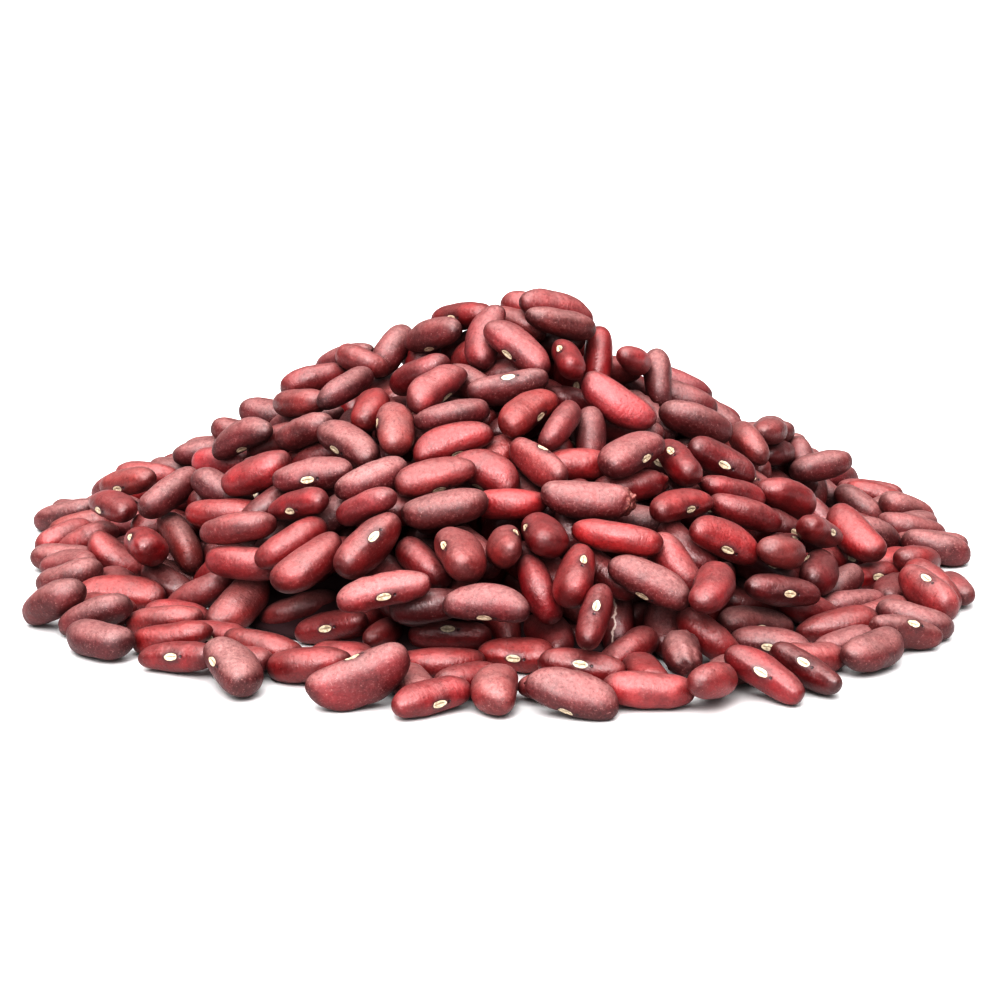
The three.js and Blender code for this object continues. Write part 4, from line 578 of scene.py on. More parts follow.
    (-34.99, 42.34, 23.17, 0.2195, 0.9350, -0.0733, 0.2687, 17.8, 8.32, 6.86, 0.35, 4, 1, ""),
    (34.52, 24.83, 10.87, 0.4845, -0.6098, -0.6217, -0.0831, 17.8, 9.42, 6.37, 0.35, 4, 0, ""),
    (-22.54, -38.64, 11.55, 0.2910, 0.4634, -0.8356, 0.0491, 14.1, 7.68, 6.11, 0.28, 1, 1, ""),
    (24.27, 1.35, 21.79, 0.1720, -0.2873, 0.1945, 0.9220, 17.1, 8.99, 6.65, 0.32, 2, 1, ""),
    (13.08, -36.11, 15.79, 0.6763, -0.1041, -0.5510, -0.4778, 16.0, 8.11, 6.68, 0.29, 2, 0, ""),
    (-22.55, -20.51, 28.48, 0.1851, -0.9369, -0.0252, -0.2954, 14.4, 7.76, 6.31, 0.40, 1, 1, ""),
    (-2.46, 54.61, 5.60, 0.2847, 0.3651, -0.8608, 0.2113, 15.3, 7.91, 5.86, 0.27, 5, 0, ""),
    (4.62, 50.52, 7.72, 0.4723, 0.5987, -0.0768, -0.6423, 16.8, 8.73, 6.75, 0.36, 5, 1, ""),
    (-40.62, 48.08, 12.60, 0.8394, -0.4549, 0.0519, -0.2928, 16.2, 8.53, 6.65, 0.18, 3, 1, ""),
    (10.51, 58.56, 3.11, 0.0168, -0.9236, -0.3813, -0.0373, 14.1, 7.87, 5.98, 0.31, 3, 1, ""),
    (51.02, 60.40, 11.95, 0.2476, -0.9669, 0.0577, 0.0201, 15.4, 7.72, 6.50, 0.25, 4, 1, ""),
    (-17.02, 35.07, 31.35, 0.8322, -0.4367, -0.2912, 0.1786, 16.8, 9.48, 7.11, 0.28, 5, 1, "d"),
    (35.38, -0.28, 14.69, 0.5426, 0.5609, -0.4119, -0.4704, 14.8, 7.51, 6.61, 0.28, 1, 0, ""),
    (-46.88, -13.90, 10.26, 0.0685, 0.0867, 0.5479, 0.8292, 14.4, 7.24, 6.06, 0.28, 1, 1, ""),
    (-70.03, 46.78, 3.02, 0.0084, 0.5620, -0.8271, 0.0063, 14.1, 7.20, 6.01, 0.32, 2, 1, ""),
    (37.28, -18.32, 11.77, 0.5326, 0.8344, 0.1125, 0.0863, 15.7, 8.39, 6.36, 0.36, 1, 0, ""),
    (-32.28, 37.44, 9.01, 0.1411, 0.9309, -0.0898, -0.3247, 15.8, 8.62, 6.56, 0.44, 1, 0, ""),
    (40.90, -20.31, 18.01, 0.1355, -0.8749, -0.4581, 0.0790, 14.7, 8.50, 5.90, 0.43, 5, 1, ""),
    (38.93, 22.64, 25.83, 0.1855, 0.7454, -0.6085, -0.1990, 16.9, 8.97, 6.93, 0.35, 2, 1, "d"),
    (-32.00, 34.10, 25.86, 0.3399, 0.8217, -0.1640, 0.4271, 17.0, 8.52, 6.89, 0.29, 5, 1, "d"),
    (-23.32, -42.15, 20.14, 0.7694, 0.1617, -0.1034, 0.6093, 17.2, 8.70, 7.02, 0.30, 4, 1, ""),
    (33.61, 34.06, 23.26, 0.3252, -0.8488, 0.3750, 0.1820, 16.9, 8.62, 7.36, 0.29, 5, 1, "d"),
    (-61.74, 18.41, 13.58, 0.5038, 0.7210, -0.3051, 0.3650, 16.8, 8.57, 6.49, 0.27, 5, 1, ""),
    (-11.90, -53.22, 6.44, 0.8445, 0.3857, 0.3716, 0.0040, 15.8, 7.61, 7.10, 0.20, 5, 1, "d"),
    (-33.80, 67.80, 2.89, 0.9966, 0.0019, -0.0109, -0.0819, 13.8, 7.20, 5.76, 0.29, 2, 1, ""),
    (-8.21, -19.03, 36.41, 0.1112, -0.2003, -0.9010, 0.3685, 16.9, 8.25, 7.17, 0.27, 3, 1, ""),
    (28.17, 75.01, 6.66, 0.6248, 0.0007, -0.4925, 0.6059, 16.0, 8.31, 7.14, 0.21, 4, 1, ""),
    (42.26, 56.41, 7.86, 0.4981, 0.0846, -0.8613, -0.0536, 17.0, 9.11, 6.89, 0.24, 4, 1, ""),
    (39.10, 71.54, 10.37, 0.2031, 0.0108, 0.0113, 0.9790, 17.3, 8.37, 6.84, 0.36, 2, 1, "d"),
    (21.12, -48.19, 16.20, 0.5685, 0.3513, -0.7412, -0.0628, 16.4, 7.73, 7.29, 0.32, 3, 1, ""),
    (32.13, 39.42, 6.39, 0.7986, 0.5056, 0.3263, 0.0128, 15.6, 7.86, 6.27, 0.44, 3, 0, ""),
    (-27.76, -10.91, 20.53, 0.0252, 0.0752, -0.5750, -0.8143, 15.0, 8.04, 6.52, 0.15, 2, 0, ""),
    (29.65, -33.85, 11.69, 0.7868, 0.3702, -0.4699, -0.1520, 18.5, 9.38, 6.90, 0.26, 4, 1, ""),
    (-47.46, 48.06, 19.57, 0.0394, 0.9965, 0.0732, -0.0082, 17.1, 8.19, 7.03, 0.22, 5, 1, ""),
    (41.63, 21.61, 17.63, 0.3342, -0.1924, -0.5539, 0.7379, 15.8, 8.55, 6.91, 0.49, 5, 1, "w"),
    (-19.71, 15.67, 22.74, 0.6252, -0.7619, 0.1004, -0.1363, 16.2, 7.66, 6.88, 0.45, 5, 0, ""),
    (23.50, -7.09, 22.02, 0.0492, 0.7497, -0.1240, 0.6482, 16.4, 8.52, 6.79, 0.27, 4, 1, ""),
    (-30.24, 43.60, 15.40, 0.5554, -0.6563, -0.2496, 0.4455, 16.5, 8.35, 7.15, 0.39, 3, 1, ""),
    (-36.02, 54.70, 9.38, 0.0972, 0.1973, 0.9645, -0.1461, 17.2, 8.82, 6.68, 0.30, 2, 1, "w"),
    (48.14, 32.35, 3.89, 0.8850, 0.4647, -0.0132, -0.0263, 16.5, 8.03, 7.16, 0.38, 3, 0, ""),
    (-51.34, 38.59, 12.38, 0.6991, -0.5426, -0.3708, 0.2817, 17.3, 9.20, 7.02, 0.21, 4, 1, ""),
    (-69.83, 32.21, 4.35, 0.6722, 0.7060, 0.1609, 0.1542, 17.5, 8.70, 7.23, 0.29, 1, 1, ""),
    (-34.13, 10.21, 18.41, 0.3627, 0.2591, -0.6180, 0.6476, 15.7, 8.90, 6.46, 0.30, 1, 1, ""),
    (32.50, 46.77, 4.91, 0.3759, -0.0789, 0.5690, -0.7271, 17.6, 8.53, 6.10, 0.15, 2, 1, ""),
    (55.16, 7.16, 11.15, 0.1052, -0.1598, -0.6462, 0.7388, 16.7, 7.69, 6.42, 0.36, 3, 1, ""),
    (-39.91, 0.90, 16.06, 0.8177, -0.2871, 0.4466, 0.2225, 15.6, 8.57, 6.49, 0.24, 5, 1, ""),
    (45.67, -35.38, 3.88, 0.3379, 0.9411, -0.0138, 0.0018, 18.4, 8.68, 7.07, 0.25, 5, 1, "d"),
    (-57.80, -11.95, 4.78, 0.0926, -0.0315, -0.7752, -0.6240, 15.9, 8.18, 6.96, 0.31, 2, 1, ""),
    (-48.70, 22.91, 19.77, 0.1629, 0.1338, 0.9053, -0.3688, 17.0, 8.01, 6.61, 0.33, 1, 1, ""),
    (55.29, 10.71, 3.91, 0.0079, 0.1318, 0.9912, -0.0004, 19.4, 10.20, 7.80, 0.23, 4, 1, ""),
    (9.54, 5.64, 31.08, 0.2850, 0.7779, 0.1984, 0.5236, 17.3, 7.74, 6.48, 0.28, 5, 0, ""),
    (-35.12, -26.44, 25.45, 0.3880, 0.8434, -0.3524, 0.1179, 14.5, 7.48, 6.72, 0.45, 4, 1, ""),
    (33.62, -9.91, 15.25, 0.7511, 0.5116, -0.4121, -0.0655, 15.9, 8.82, 6.28, 0.33, 1, 1, "d"),
    (-9.02, -24.01, 22.58, 0.7561, 0.1967, 0.5964, 0.1842, 14.5, 7.20, 6.49, 0.35, 1, 1, ""),
    (40.16, 72.80, 3.58, 0.0372, 0.9391, 0.3379, -0.0496, 15.1, 8.68, 6.73, 0.24, 5, 1, ""),
    (-1.09, 95.09, 3.83, 0.5970, -0.7635, 0.1982, -0.1460, 14.9, 7.72, 6.13, 0.31, 5, 1, "w"),
    (58.58, -27.13, 2.94, 0.9739, 0.0086, -0.0153, 0.2263, 13.7, 8.10, 5.81, 0.33, 3, 1, ""),
    (-51.47, 30.82, 4.87, 0.2985, -0.3505, 0.2551, -0.8503, 15.6, 8.35, 6.39, 0.25, 5, 0, ""),
    (-19.93, 23.96, 34.51, 0.1114, 0.4135, -0.8882, 0.1667, 14.0, 7.92, 5.89, 0.32, 5, 1, ""),
    (52.93, 14.74, 18.59, 0.7109, -0.4560, 0.3966, -0.3598, 15.9, 8.17, 6.63, 0.30, 3, 1, ""),
    (17.75, 24.63, 22.67, 0.1046, 0.6268, -0.7031, 0.3191, 16.0, 8.19, 6.98, 0.24, 3, 0, "w"),
    (-9.44, 46.75, 9.09, 0.4402, -0.4250, 0.5306, 0.5866, 18.0, 9.16, 7.26, 0.23, 4, 1, ""),
    (-22.20, 47.44, 19.85, 0.9453, -0.1905, 0.0770, 0.2533, 15.1, 7.70, 6.61, 0.39, 5, 1, ""),
    (-1.95, -4.41, 33.70, 0.4780, 0.0135, -0.6775, 0.5588, 15.2, 8.43, 5.70, 0.29, 1, 1, ""),
    (21.64, -44.71, 5.91, 0.9433, 0.0016, -0.0712, -0.3242, 15.9, 8.18, 5.98, 0.19, 4, 0, ""),
    (-6.79, -41.85, 13.00, 0.0812, 0.6152, -0.4468, 0.6445, 16.1, 7.77, 6.39, 0.41, 2, 1, ""),
    (-21.44, 55.00, 16.60, 0.2097, 0.2845, -0.0633, -0.9333, 14.5, 7.20, 5.88, 0.33, 5, 1, ""),
    (-47.97, 10.68, 11.27, 0.4057, -0.4213, -0.6385, -0.5002, 19.4, 8.48, 7.56, 0.27, 3, 1, "w"),
    (51.59, 82.94, 3.35, 0.0063, -0.0628, -0.9980, -0.0030, 17.6, 9.68, 6.70, 0.44, 3, 1, ""),
    (-38.09, 58.27, 15.34, 0.8670, -0.1062, -0.0602, 0.4832, 15.9, 8.52, 6.48, 0.28, 3, 1, ""),
    (5.04, 16.64, 29.82, 0.0550, 0.0809, -0.9784, -0.1820, 18.3, 8.48, 7.50, 0.20, 2, 1, ""),
    (21.44, 41.19, 20.70, 0.5588, -0.8130, -0.1219, 0.1093, 15.5, 8.36, 6.47, 0.42, 5, 1, "w"),
    (11.75, 51.69, 5.77, 0.7247, 0.1770, 0.3457, -0.5692, 14.6, 7.75, 6.21, 0.30, 2, 0, "w"),
    (29.89, 27.38, 24.50, 0.0679, 0.4430, 0.5378, 0.7141, 17.6, 8.83, 6.78, 0.47, 1, 1, ""),
    (-30.96, -10.25, 29.04, 0.4881, 0.3364, 0.1061, -0.7983, 17.0, 8.31, 6.28, 0.27, 4, 1, ""),
    (-13.61, 70.09, 3.40, 0.0049, -0.0813, -0.9967, -0.0018, 17.5, 9.03, 6.79, 0.21, 3, 1, ""),
    (5.19, 10.58, 38.78, 0.8062, 0.0029, 0.4237, 0.4129, 15.5, 8.00, 6.40, 0.40, 2, 1, "d"),
    (11.52, 12.83, 41.67, 0.6094, -0.0451, -0.2097, 0.7633, 15.5, 8.00, 6.40, 0.40, 1, 1, "w"),
    (12.65, -3.06, 30.28, 0.0721, 0.3000, -0.1580, -0.9380, 15.5, 8.00, 6.40, 0.40, 4, 1, ""),
    (10.32, 7.37, 46.68, 0.3001, -0.0933, -0.0839, 0.9456, 15.5, 8.00, 6.40, 0.40, 1, 1, ""),
    (17.43, 21.48, 40.03, 0.7609, -0.4854, 0.0094, -0.4304, 15.5, 8.00, 6.40, 0.40, 3, 1, ""),
    (-15.94, 11.55, 43.66, 0.0917, 0.5620, -0.2212, -0.7918, 15.5, 8.00, 6.40, 0.40, 2, 1, "w"),
    (-4.75, 9.12, 30.17, 0.7837, 0.2890, 0.4002, -0.3770, 15.5, 8.00, 6.40, 0.40, 5, 1, ""),
    (-24.27, 9.81, 34.72, 0.6090, -0.1941, -0.3287, 0.6953, 15.5, 8.00, 6.40, 0.40, 3, 1, "d"),
    (-10.93, -5.04, 38.70, 0.9564, 0.1389, 0.0821, -0.2433, 15.5, 8.00, 6.40, 0.40, 5, 1, ""),
    (9.41, -1.29, 37.06, 0.6835, -0.5104, 0.2854, -0.4369, 15.5, 8.00, 6.40, 0.40, 2, 1, ""),
    (0.97, 1.58, 35.38, 0.4644, 0.3061, -0.3952, 0.7311, 15.5, 8.00, 6.40, 0.40, 2, 1, ""),
    (-41.76, -38.00, 16.45, 0.8472, -0.2366, -0.2997, 0.3693, 18.2, 9.39, 7.32, 0.28, 1, 1, ""),
    (-42.38, -26.74, 18.45, 0.1260, 0.4116, -0.3966, 0.8109, 16.7, 8.68, 6.46, 0.30, 5, 1, ""),
    (-30.38, -34.97, 18.54, 0.3280, -0.4995, -0.7932, 0.1170, 16.2, 8.75, 5.95, 0.41, 1, 1, ""),
    (40.67, -50.22, 7.39, 0.0073, 0.5257, -0.0495, -0.8492, 15.6, 8.84, 6.34, 0.35, 3, 1, ""),
    (-45.88, -32.83, 10.27, 0.8770, -0.3827, -0.1387, 0.2552, 16.3, 9.12, 5.99, 0.36, 1, 1, ""),
    (57.92, -38.12, 4.92, 0.6066, 0.4045, 0.1633, 0.6646, 16.0, 7.50, 6.74, 0.19, 2, 1, ""),
    (-0.48, -56.62, 4.97, 0.6442, 0.5501, -0.2142, -0.4863, 15.9, 7.67, 6.45, 0.35, 3, 1, ""),
    (-19.30, -60.18, 11.66, 0.4142, 0.0772, -0.3697, 0.8282, 18.6, 9.65, 6.58, 0.26, 1, 1, ""),
    (-29.05, -32.30, 12.18, 0.6904, 0.1512, -0.1815, 0.6837, 13.9, 7.28, 6.31, 0.41, 5, 1, ""),
    (-35.95, -36.63, 10.71, 0.3239, -0.6296, 0.4590, -0.5366, 17.1, 9.27, 7.00, 0.39, 3, 1, ""),
    (27.61, -51.24, 13.76, 0.5854, 0.5448, 0.4897, 0.3476, 18.1, 10.00, 7.40, 0.27, 2, 1, ""),
    (-7.74, -59.99, 11.69, 0.8264, -0.1777, 0.2572, -0.4684, 17.6, 8.44, 7.43, 0.45, 3, 1, ""),
    (62.59, -39.44, 9.38, 0.5544, -0.2373, 0.3531, -0.7153, 16.0, 8.25, 6.63, 0.28, 1, 1, ""),
    (35.23, -48.93, 11.31, 0.7132, -0.3457, -0.5435, 0.2765, 16.6, 8.27, 7.00, 0.38, 4, 1, ""),
    (-34.72, -48.53, 15.42, 0.1022, -0.1004, -0.2411, 0.9599, 16.2, 8.02, 6.33, 0.38, 2, 1, ""),
    (-25.71, -52.50, 5.19, 0.4844, 0.2109, 0.1497, -0.8358, 15.6, 8.03, 6.78, 0.45, 2, 1, ""),
    (30.96, -60.99, 4.93, 0.6621, 0.2165, -0.1196, 0.7074, 15.2, 8.33, 6.32, 0.26, 1, 1, ""),
    (-33.56, -32.36, 5.59, 0.5447, 0.2951, 0.3462, 0.7046, 15.6, 8.00, 5.96, 0.17, 1, 1, ""),
    (-24.76, -84.16, 3.19, 0.0072, 0.9234, 0.3830, 0.0240, 18.2, 8.43, 6.22, 0.30, 3, 1, "d"),
    (-15.98, -87.04, 2.77, 0.6277, -0.0233, 0.0017, 0.7781, 14.3, 8.00, 5.42, 0.40, 5, 1, ""),
    (-78.28, -42.21, 3.16, 0.0244, 0.9497, -0.3121, 0.0116, 16.0, 8.29, 6.18, 0.31, 2, 1, ""),
    (-53.57, -58.43, 2.84, 0.0108, 0.2351, 0.9700, -0.0607, 14.1, 7.20, 5.40, 0.35, 2, 1, ""),
    (43.40, -79.41, 2.92, 0.9370, 0.0201, 0.0371, 0.3468, 15.5, 8.34, 5.53, 0.12, 5, 1, ""),
    (10.88, -89.53, 2.82, 0.0251, 0.1410, 0.9893, 0.0284, 15.1, 7.72, 5.40, 0.33, 4, 1, ""),
    (-77.42, -21.32, 2.99, 0.7855, -0.0005, -0.0488, -0.6170, 15.7, 8.01, 5.58, 0.33, 2, 1, "d"),
    (26.21, -82.51, 3.04, 0.6257, 0.0125, 0.0427, 0.7788, 15.4, 7.94, 5.86, 0.23, 2, 1, ""),
    (81.85, -6.96, 3.00, 0.4262, -0.0160, -0.0265, -0.9041, 15.6, 8.04, 5.81, 0.29, 3, 1, ""),
    (74.44, -44.65, 3.02, 0.3309, 0.0423, -0.0222, -0.9424, 14.5, 8.17, 5.73, 0.47, 4, 1, ""),
    (-29.32, -72.78, 3.17, 0.3349, -0.0567, 0.0500, 0.9392, 14.5, 7.86, 5.57, 0.19, 2, 1, ""),
    (-62.20, -44.62, 2.78, 0.0269, -0.2053, -0.9781, 0.0224, 14.0, 7.20, 5.40, 0.34, 3, 1, ""),
    (78.78, -26.82, 2.77, 0.0211, -0.5409, 0.8403, -0.0279, 14.5, 7.68, 5.40, 0.37, 1, 1, ""),
    (-48.37, -73.92, 2.83, 0.2676, -0.0421, -0.0026, 0.9626, 14.6, 7.20, 5.40, 0.29, 2, 1, "d"),
    (76.50, 26.45, 2.85, 0.0022, 0.9704, -0.2374, -0.0451, 13.6, 7.32, 5.40, 0.41, 2, 1, ""),
    (-5.31, -85.76, 3.04, 0.0466, 0.9055, 0.4205, -0.0343, 14.7, 7.62, 5.59, 0.34, 2, 1, ""),
    (65.06, -64.18, 3.00, 0.3323, 0.0519, -0.0804, -0.9383, 15.3, 7.62, 5.51, 0.27, 5, 1, ""),
]

KINDS = {
    1: "dark",
    2: "deep",
    3: "bright",
    4: "rosy",
    5: "dusty",
}

# ---------------------------------------------------------------------------
# One bean. x runs along it, -y is the side with the eye, z is its thickness.
END_BLUNT = 2.65
SIDE_BLUNT = 2.25
FLAT_BLUNT = 2.5


def outline(s, bend):
    a = np.clip(1 - np.abs(s) ** END_BLUNT, 0, 1)
    return a ** (1 / SIDE_BLUNT), a ** (1 / FLAT_BLUNT), bend * (0.33 - s * s)


def waves(rng, pos, wavelength, count):
    """A smooth uneven field over the bean, about -1 to 1."""
    out = np.zeros(pos.shape[:-1])
    for _ in range(count):
        d = rng.normal(size=3)
        d *= 2 * math.pi / (np.linalg.norm(d) * wavelength * rng.uniform(0.7, 1.4))
        out += np.sin(pos @ d + rng.uniform(0, 2 * math.pi))
    return out / math.sqrt(count) * 0.9


def bean_points(length, width, thick, bend, rings, around, rng, marks):
    """Rings of points from one end to the other, then the two tips; all in mm."""
    t = np.linspace(0, math.pi, rings + 1)[1:-1]
    s = -np.sign(np.cos(t)) * np.abs(np.cos(t)) ** (2 / 2.3)
    u = np.arange(around) * 2 * math.pi / around
    phi = u + 0.30 * np.sin(u)
    ss, pp = np.meshgrid(s, phi, indexing="ij")
    hy, hz, mid = outline(ss, bend)
    taper = rng.normal(0, 0.05)
    blunt = rng.uniform(-0.06, 0.06)
    hy = hy * (1 + taper * ss)
    hz = hz * (1 + taper * ss)
    hump = blunt * np.sin(ss * 2.4 + rng.uniform(-1, 1))
    c, q = np.cos(pp), np.sin(pp)
    k = (np.abs(c) ** 2.15 + np.abs(q) ** 2.15) ** (-1 / 2.15)
    y = hy * c * k
    z = hz * q * k * (1 - 0.07 * np.clip(-c, 0, 1) ** 2)
    v = np.stack([ss * length / 2, (y + mid + hump) * width / 2, z * thick / 2], -1)
    tips = np.array([[-length / 2, bend * (0.33 - 1) * width / 2, 0], [length / 2, bend * (0.33 - 1) * width / 2, 0]])
    low, high = v[..., 1].min(), v[..., 1].max()
    scale = width / (high - low)
    v[..., 1] = (v[..., 1] - (low + high) / 2) * scale
    tips[:, 1] = (tips[:, 1] - (low + high) / 2) * scale

    # outward direction
    du = np.gradient(v, axis=0)
    dv = np.roll(v, -1, 1) - np.roll(v, 1, 1)
    n = np.cross(du, dv)
    n /= np.maximum(np.linalg.norm(n, axis=-1, keepdims=True), 1e-9)
    if (n * v).sum(-1).mean() < 0:
        n = -n

    x, yy, zz = v[..., 0], v[..., 1], v[..., 2]
    out = 0.13 * waves(rng, v, 8.5, 5)
    out += 0.05 * waves(rng, v, 3.6, 6)
    # faces pressed a little flat or hollow by neighbours
    for _ in range(5):
        at = rng.normal(size=3) * np.array([length * 0.3, width * 0.5, thick * 0.5])
        g = np.exp(-((v - at) ** 2).sum(-1) / (2 * rng.uniform(1.6, 2.9) ** 2))
        out -= rng.uniform(-0.06, 0.30) * g
    if "w" in marks:
        lines = np.sin(x * 2.6 + 1.6 * np.sin(zz * 0.8 + rng.uniform(0, 6)) + rng.uniform(0, 6))
        out += 0.10 * lines * (0.5 + 0.5 * waves(rng, v, 7, 3))
    if "r" in marks:
        out += 0.20 * waves(rng, v, 1.9, 8)
    eye_side = np.clip(-(np.cos(pp)), 0, 1) ** 3
    # the seam along the inner edge, and the eye in the middle of it
    seam = np.exp(-((zz / 0.42) ** 2)) * eye_side
    out += 0.09 * seam * np.clip((np.abs(x) - 1.9) / 1.0, 0, 1) * np.clip(1.4 - np.abs(x) * 2.6 / length, 0, 1)
    e = np.sqrt((x / EYE[0]) ** 2 + (zz / EYE[1]) ** 2)
    out += eye_side * (0.17 * np.exp(-(((e - 1.0) / 0.33) ** 2)) - 0.16 * np.exp(-((e / 0.62) ** 2)))
    out += eye_side * 0.16 * np.exp(-(((x + EYE[0] + 0.9) / 0.75) ** 2) - (zz / 0.65) ** 2)
    out -= eye_side * 0.12 * np.exp(-(((x - EYE[0] - 0.75) / 0.4) ** 2) - (zz / 0.4) ** 2)
    if "c" in marks or "f" in marks:
        end = np.clip((x / (length / 2) - 0.62) / 0.25, 0, 1)
        out -= end * (0.5 + 0.45 * waves(rng, v, 2.0, 6))
    v = v + n * out[..., None]
    return np.concatenate([v.reshape(-1, 3), tips])


EYE = (1.42, 0.74)  # half length and half width of the eye, mm
LEVELS = {3: (46, 36), 2: (36, 28), 1: (26, 20), 0: (18, 14)}


def bean_faces(rings, around):
    """Quads between rings, as corner indices, and the triangles of the two ends,
    with the (row, column) of each corner on the bean's own grid for its map."""
    m = rings - 1
    i, j = np.meshgrid(np.arange(m - 1), np.arange(around), indexing="ij")
    i, j = i.ravel(), j.ravel()
    jn = (j + 1) % around
    quads = np.stack([i * around + j, i * around + jn, (i + 1) * around + jn, (i + 1) * around + j], -1)
    qu = np.stack([j, j + 1, j + 1, j], -1) / around
    qv = np.stack([i + 1, i + 1, i + 2, i + 2], -1) / rings
    j = np.arange(around)
    jn = (j + 1) % around
    first = np.stack([np.full(around, m * around), jn, j], -1)
    last = np.stack([np.full(around, m * around + 1), (m - 1) * around + j, (m - 1) * around + jn], -1)
    tris = np.concatenate([first, last])
    tu = np.concatenate([np.stack([j + 0.5, j + 1, j], -1), np.stack([j + 0.5, j, j + 1], -1)]) / around
    tv = np.concatenate([np.stack([0 * j, 0 * j + 1, 0 * j + 1], -1), np.stack([0 * j + rings, 0 * j + m, 0 * j + m], -1)]) / rings
    return quads, tris, np.stack([qu, qv], -1), np.stack([tu, tv], -1)


def turn_matrix(w, x, y, z):
    return np.array(
        [
            [1 - 2 * (y * y + z * z), 2 * (x * y - z * w), 2 * (x * z + y * w)],
            [2 * (x * y + z * w), 1 - 2 * (x * x + z * z), 2 * (y * z - x * w)],
            [2 * (x * z - y * w), 2 * (y * z + x * w), 1 - 2 * (x * x + y * y)],
        ]
    )


# skin colours by kind, linear
SKIN = {
    1: (0.100, 0.0034, 0.0058),
    2: (0.170, 0.0064, 0.0094),
    3: (0.194, 0.0128, 0.0146),
    4: (0.180, 0.0216, 0.0232),
    5: (0.112, 0.0096, 0.0116),
}


def join_beans(name, rows):
    """One mesh object of all the beans in rows: (number, row)."""
    points, loops, starts, totals, uvs = [], [], [], [], []
    skin, traits, local, noise = [], [], [], []
    base = corner = 0
    cols = math.ceil(math.sqrt(len(rows)))
    for cell, (number, row) in enumerate(rows):
        x, y, z, qw, qx, qy, qz, length, width, thick, bend, kind, level, marks = row
        rng = np.random.default_rng(5000 + number)
        rings, around = LEVELS[level]
        p = bean_points(length, width, thick, bend, rings, around, rng, marks)
        quads, tris, quv, tuv = bean_faces(rings, around)
        turn = turn_matrix(qw, qx, qy, qz)
        world = p @ turn.T + np.array([x + MIDDLE[0], y + MIDDLE[1], z])
        points.append(world * MM)
        n = len(p)
        loops.append((quads + base).ravel())
        loops.append((tris + base).ravel())
        starts.append(corner + np.arange(len(quads)) * 4)
        corner += len(quads) * 4
        starts.append(corner + np.arange(len(tris)) * 3)
        corner += len(tris) * 3
        totals.append(np.full(len(quads), 4))
        totals.append(np.full(len(tris), 3))
        c0 = np.array([cell % cols, cell // cols])
        for part in (quv, tuv):
            uvs.append(((c0 + 0.03 + part.reshape(-1, 2) * 0.94) / cols))
        base += n
        tone = np.array(SKIN[kind]) * math.exp(rng.normal(0, 0.12))
        tone = tone * np.array([1.0, math.exp(rng.normal(0, 0.07)), math.exp(rng.normal(0, 0.05))])
        # painted shade darkens the skin towards the ends and along the edges, where the bean turns from the light;
        # broad patches of random tone are added in the same factor
        ends = np.clip((np.abs(p[:, 0]) / (length / 2) - 0.62) / 0.38, 0, 1) ** 2
        edges = np.clip((np.abs(p[:, 1]) / (width / 2) - 0.70) / 0.30, 0, 1)
        painted_shade_and_patches = np.exp(-0.62 * ends - 0.30 * edges + 0.15 * waves(rng, p, 8.0, 4))
        painted_shade_and_patches = np.stack([painted_shade_and_patches, painted_shade_and_patches**1.25, painted_shade_and_patches**1.22, np.ones(n)], -1)
        skin.append(np.append(tone, 1.0) * painted_shade_and_patches)
        dust = {1: 0.10, 2: 0.2, 3: 0.15, 4: 0.40, 5: 0.75}[kind] + rng.uniform(-0.1, 0.15) + (0.35 if "d" in marks else 0) + (0.3 if "t" in marks else 0)
        wear = 1.0 if ("c" in marks or "f" in marks) else 0.0
        streak = 1.0 if "s" in marks else 0.0
        traits.append(np.tile([max(0.0, dust), wear, streak], (n, 1)))
        local.append(p)
        noise.append(p + rng.uniform(-400, 400, 3))
    pts = np.concatenate(points)
    mesh = bpy.data.meshes.new(name)
    mesh.vertices.add(len(pts))
    mesh.vertices.foreach_set("co", pts.astype(np.float32).ravel())
    idx = np.concatenate(loops).astype(np.int32)
    mesh.loops.add(len(idx))
    mesh.loops.foreach_set("vertex_index", idx)
    st = np.concatenate(starts).astype(np.int32)
    tt = np.concatenate(totals).astype(np.int32)
    mesh.polygons.add(len(st))
    mesh.polygons.foreach_set("loop_start", st)
    mesh.polygons.foreach_set("loop_total", tt)
    mesh.update(calc_edges=True)
    mesh.polygons.foreach_set("use_smooth", np.ones(len(st), dtype=bool))
    uv = mesh.uv_layers.new(name="OFBake")
    uv.data.foreach_set("uv", np.concatenate(uvs).astype(np.float32).ravel())
    a = mesh.attributes.new("bean_skin", "FLOAT_COLOR", "POINT")
    a.data.foreach_set("color", np.concatenate(skin).astype(np.float32).ravel())
    for key, data in (("bean_traits", traits), ("bean_local", local), ("bean_noise", noise)):
        a = mesh.attributes.new(key, "FLOAT_VECTOR", "POINT")
        a.data.foreach_set("vector", np.concatenate(data).astype(np.float32).ravel())
    mesh.validate()
    ob = bpy.data.objects.new(name, mesh)
    bpy.context.scene.collection.objects.link(ob)
    return ob


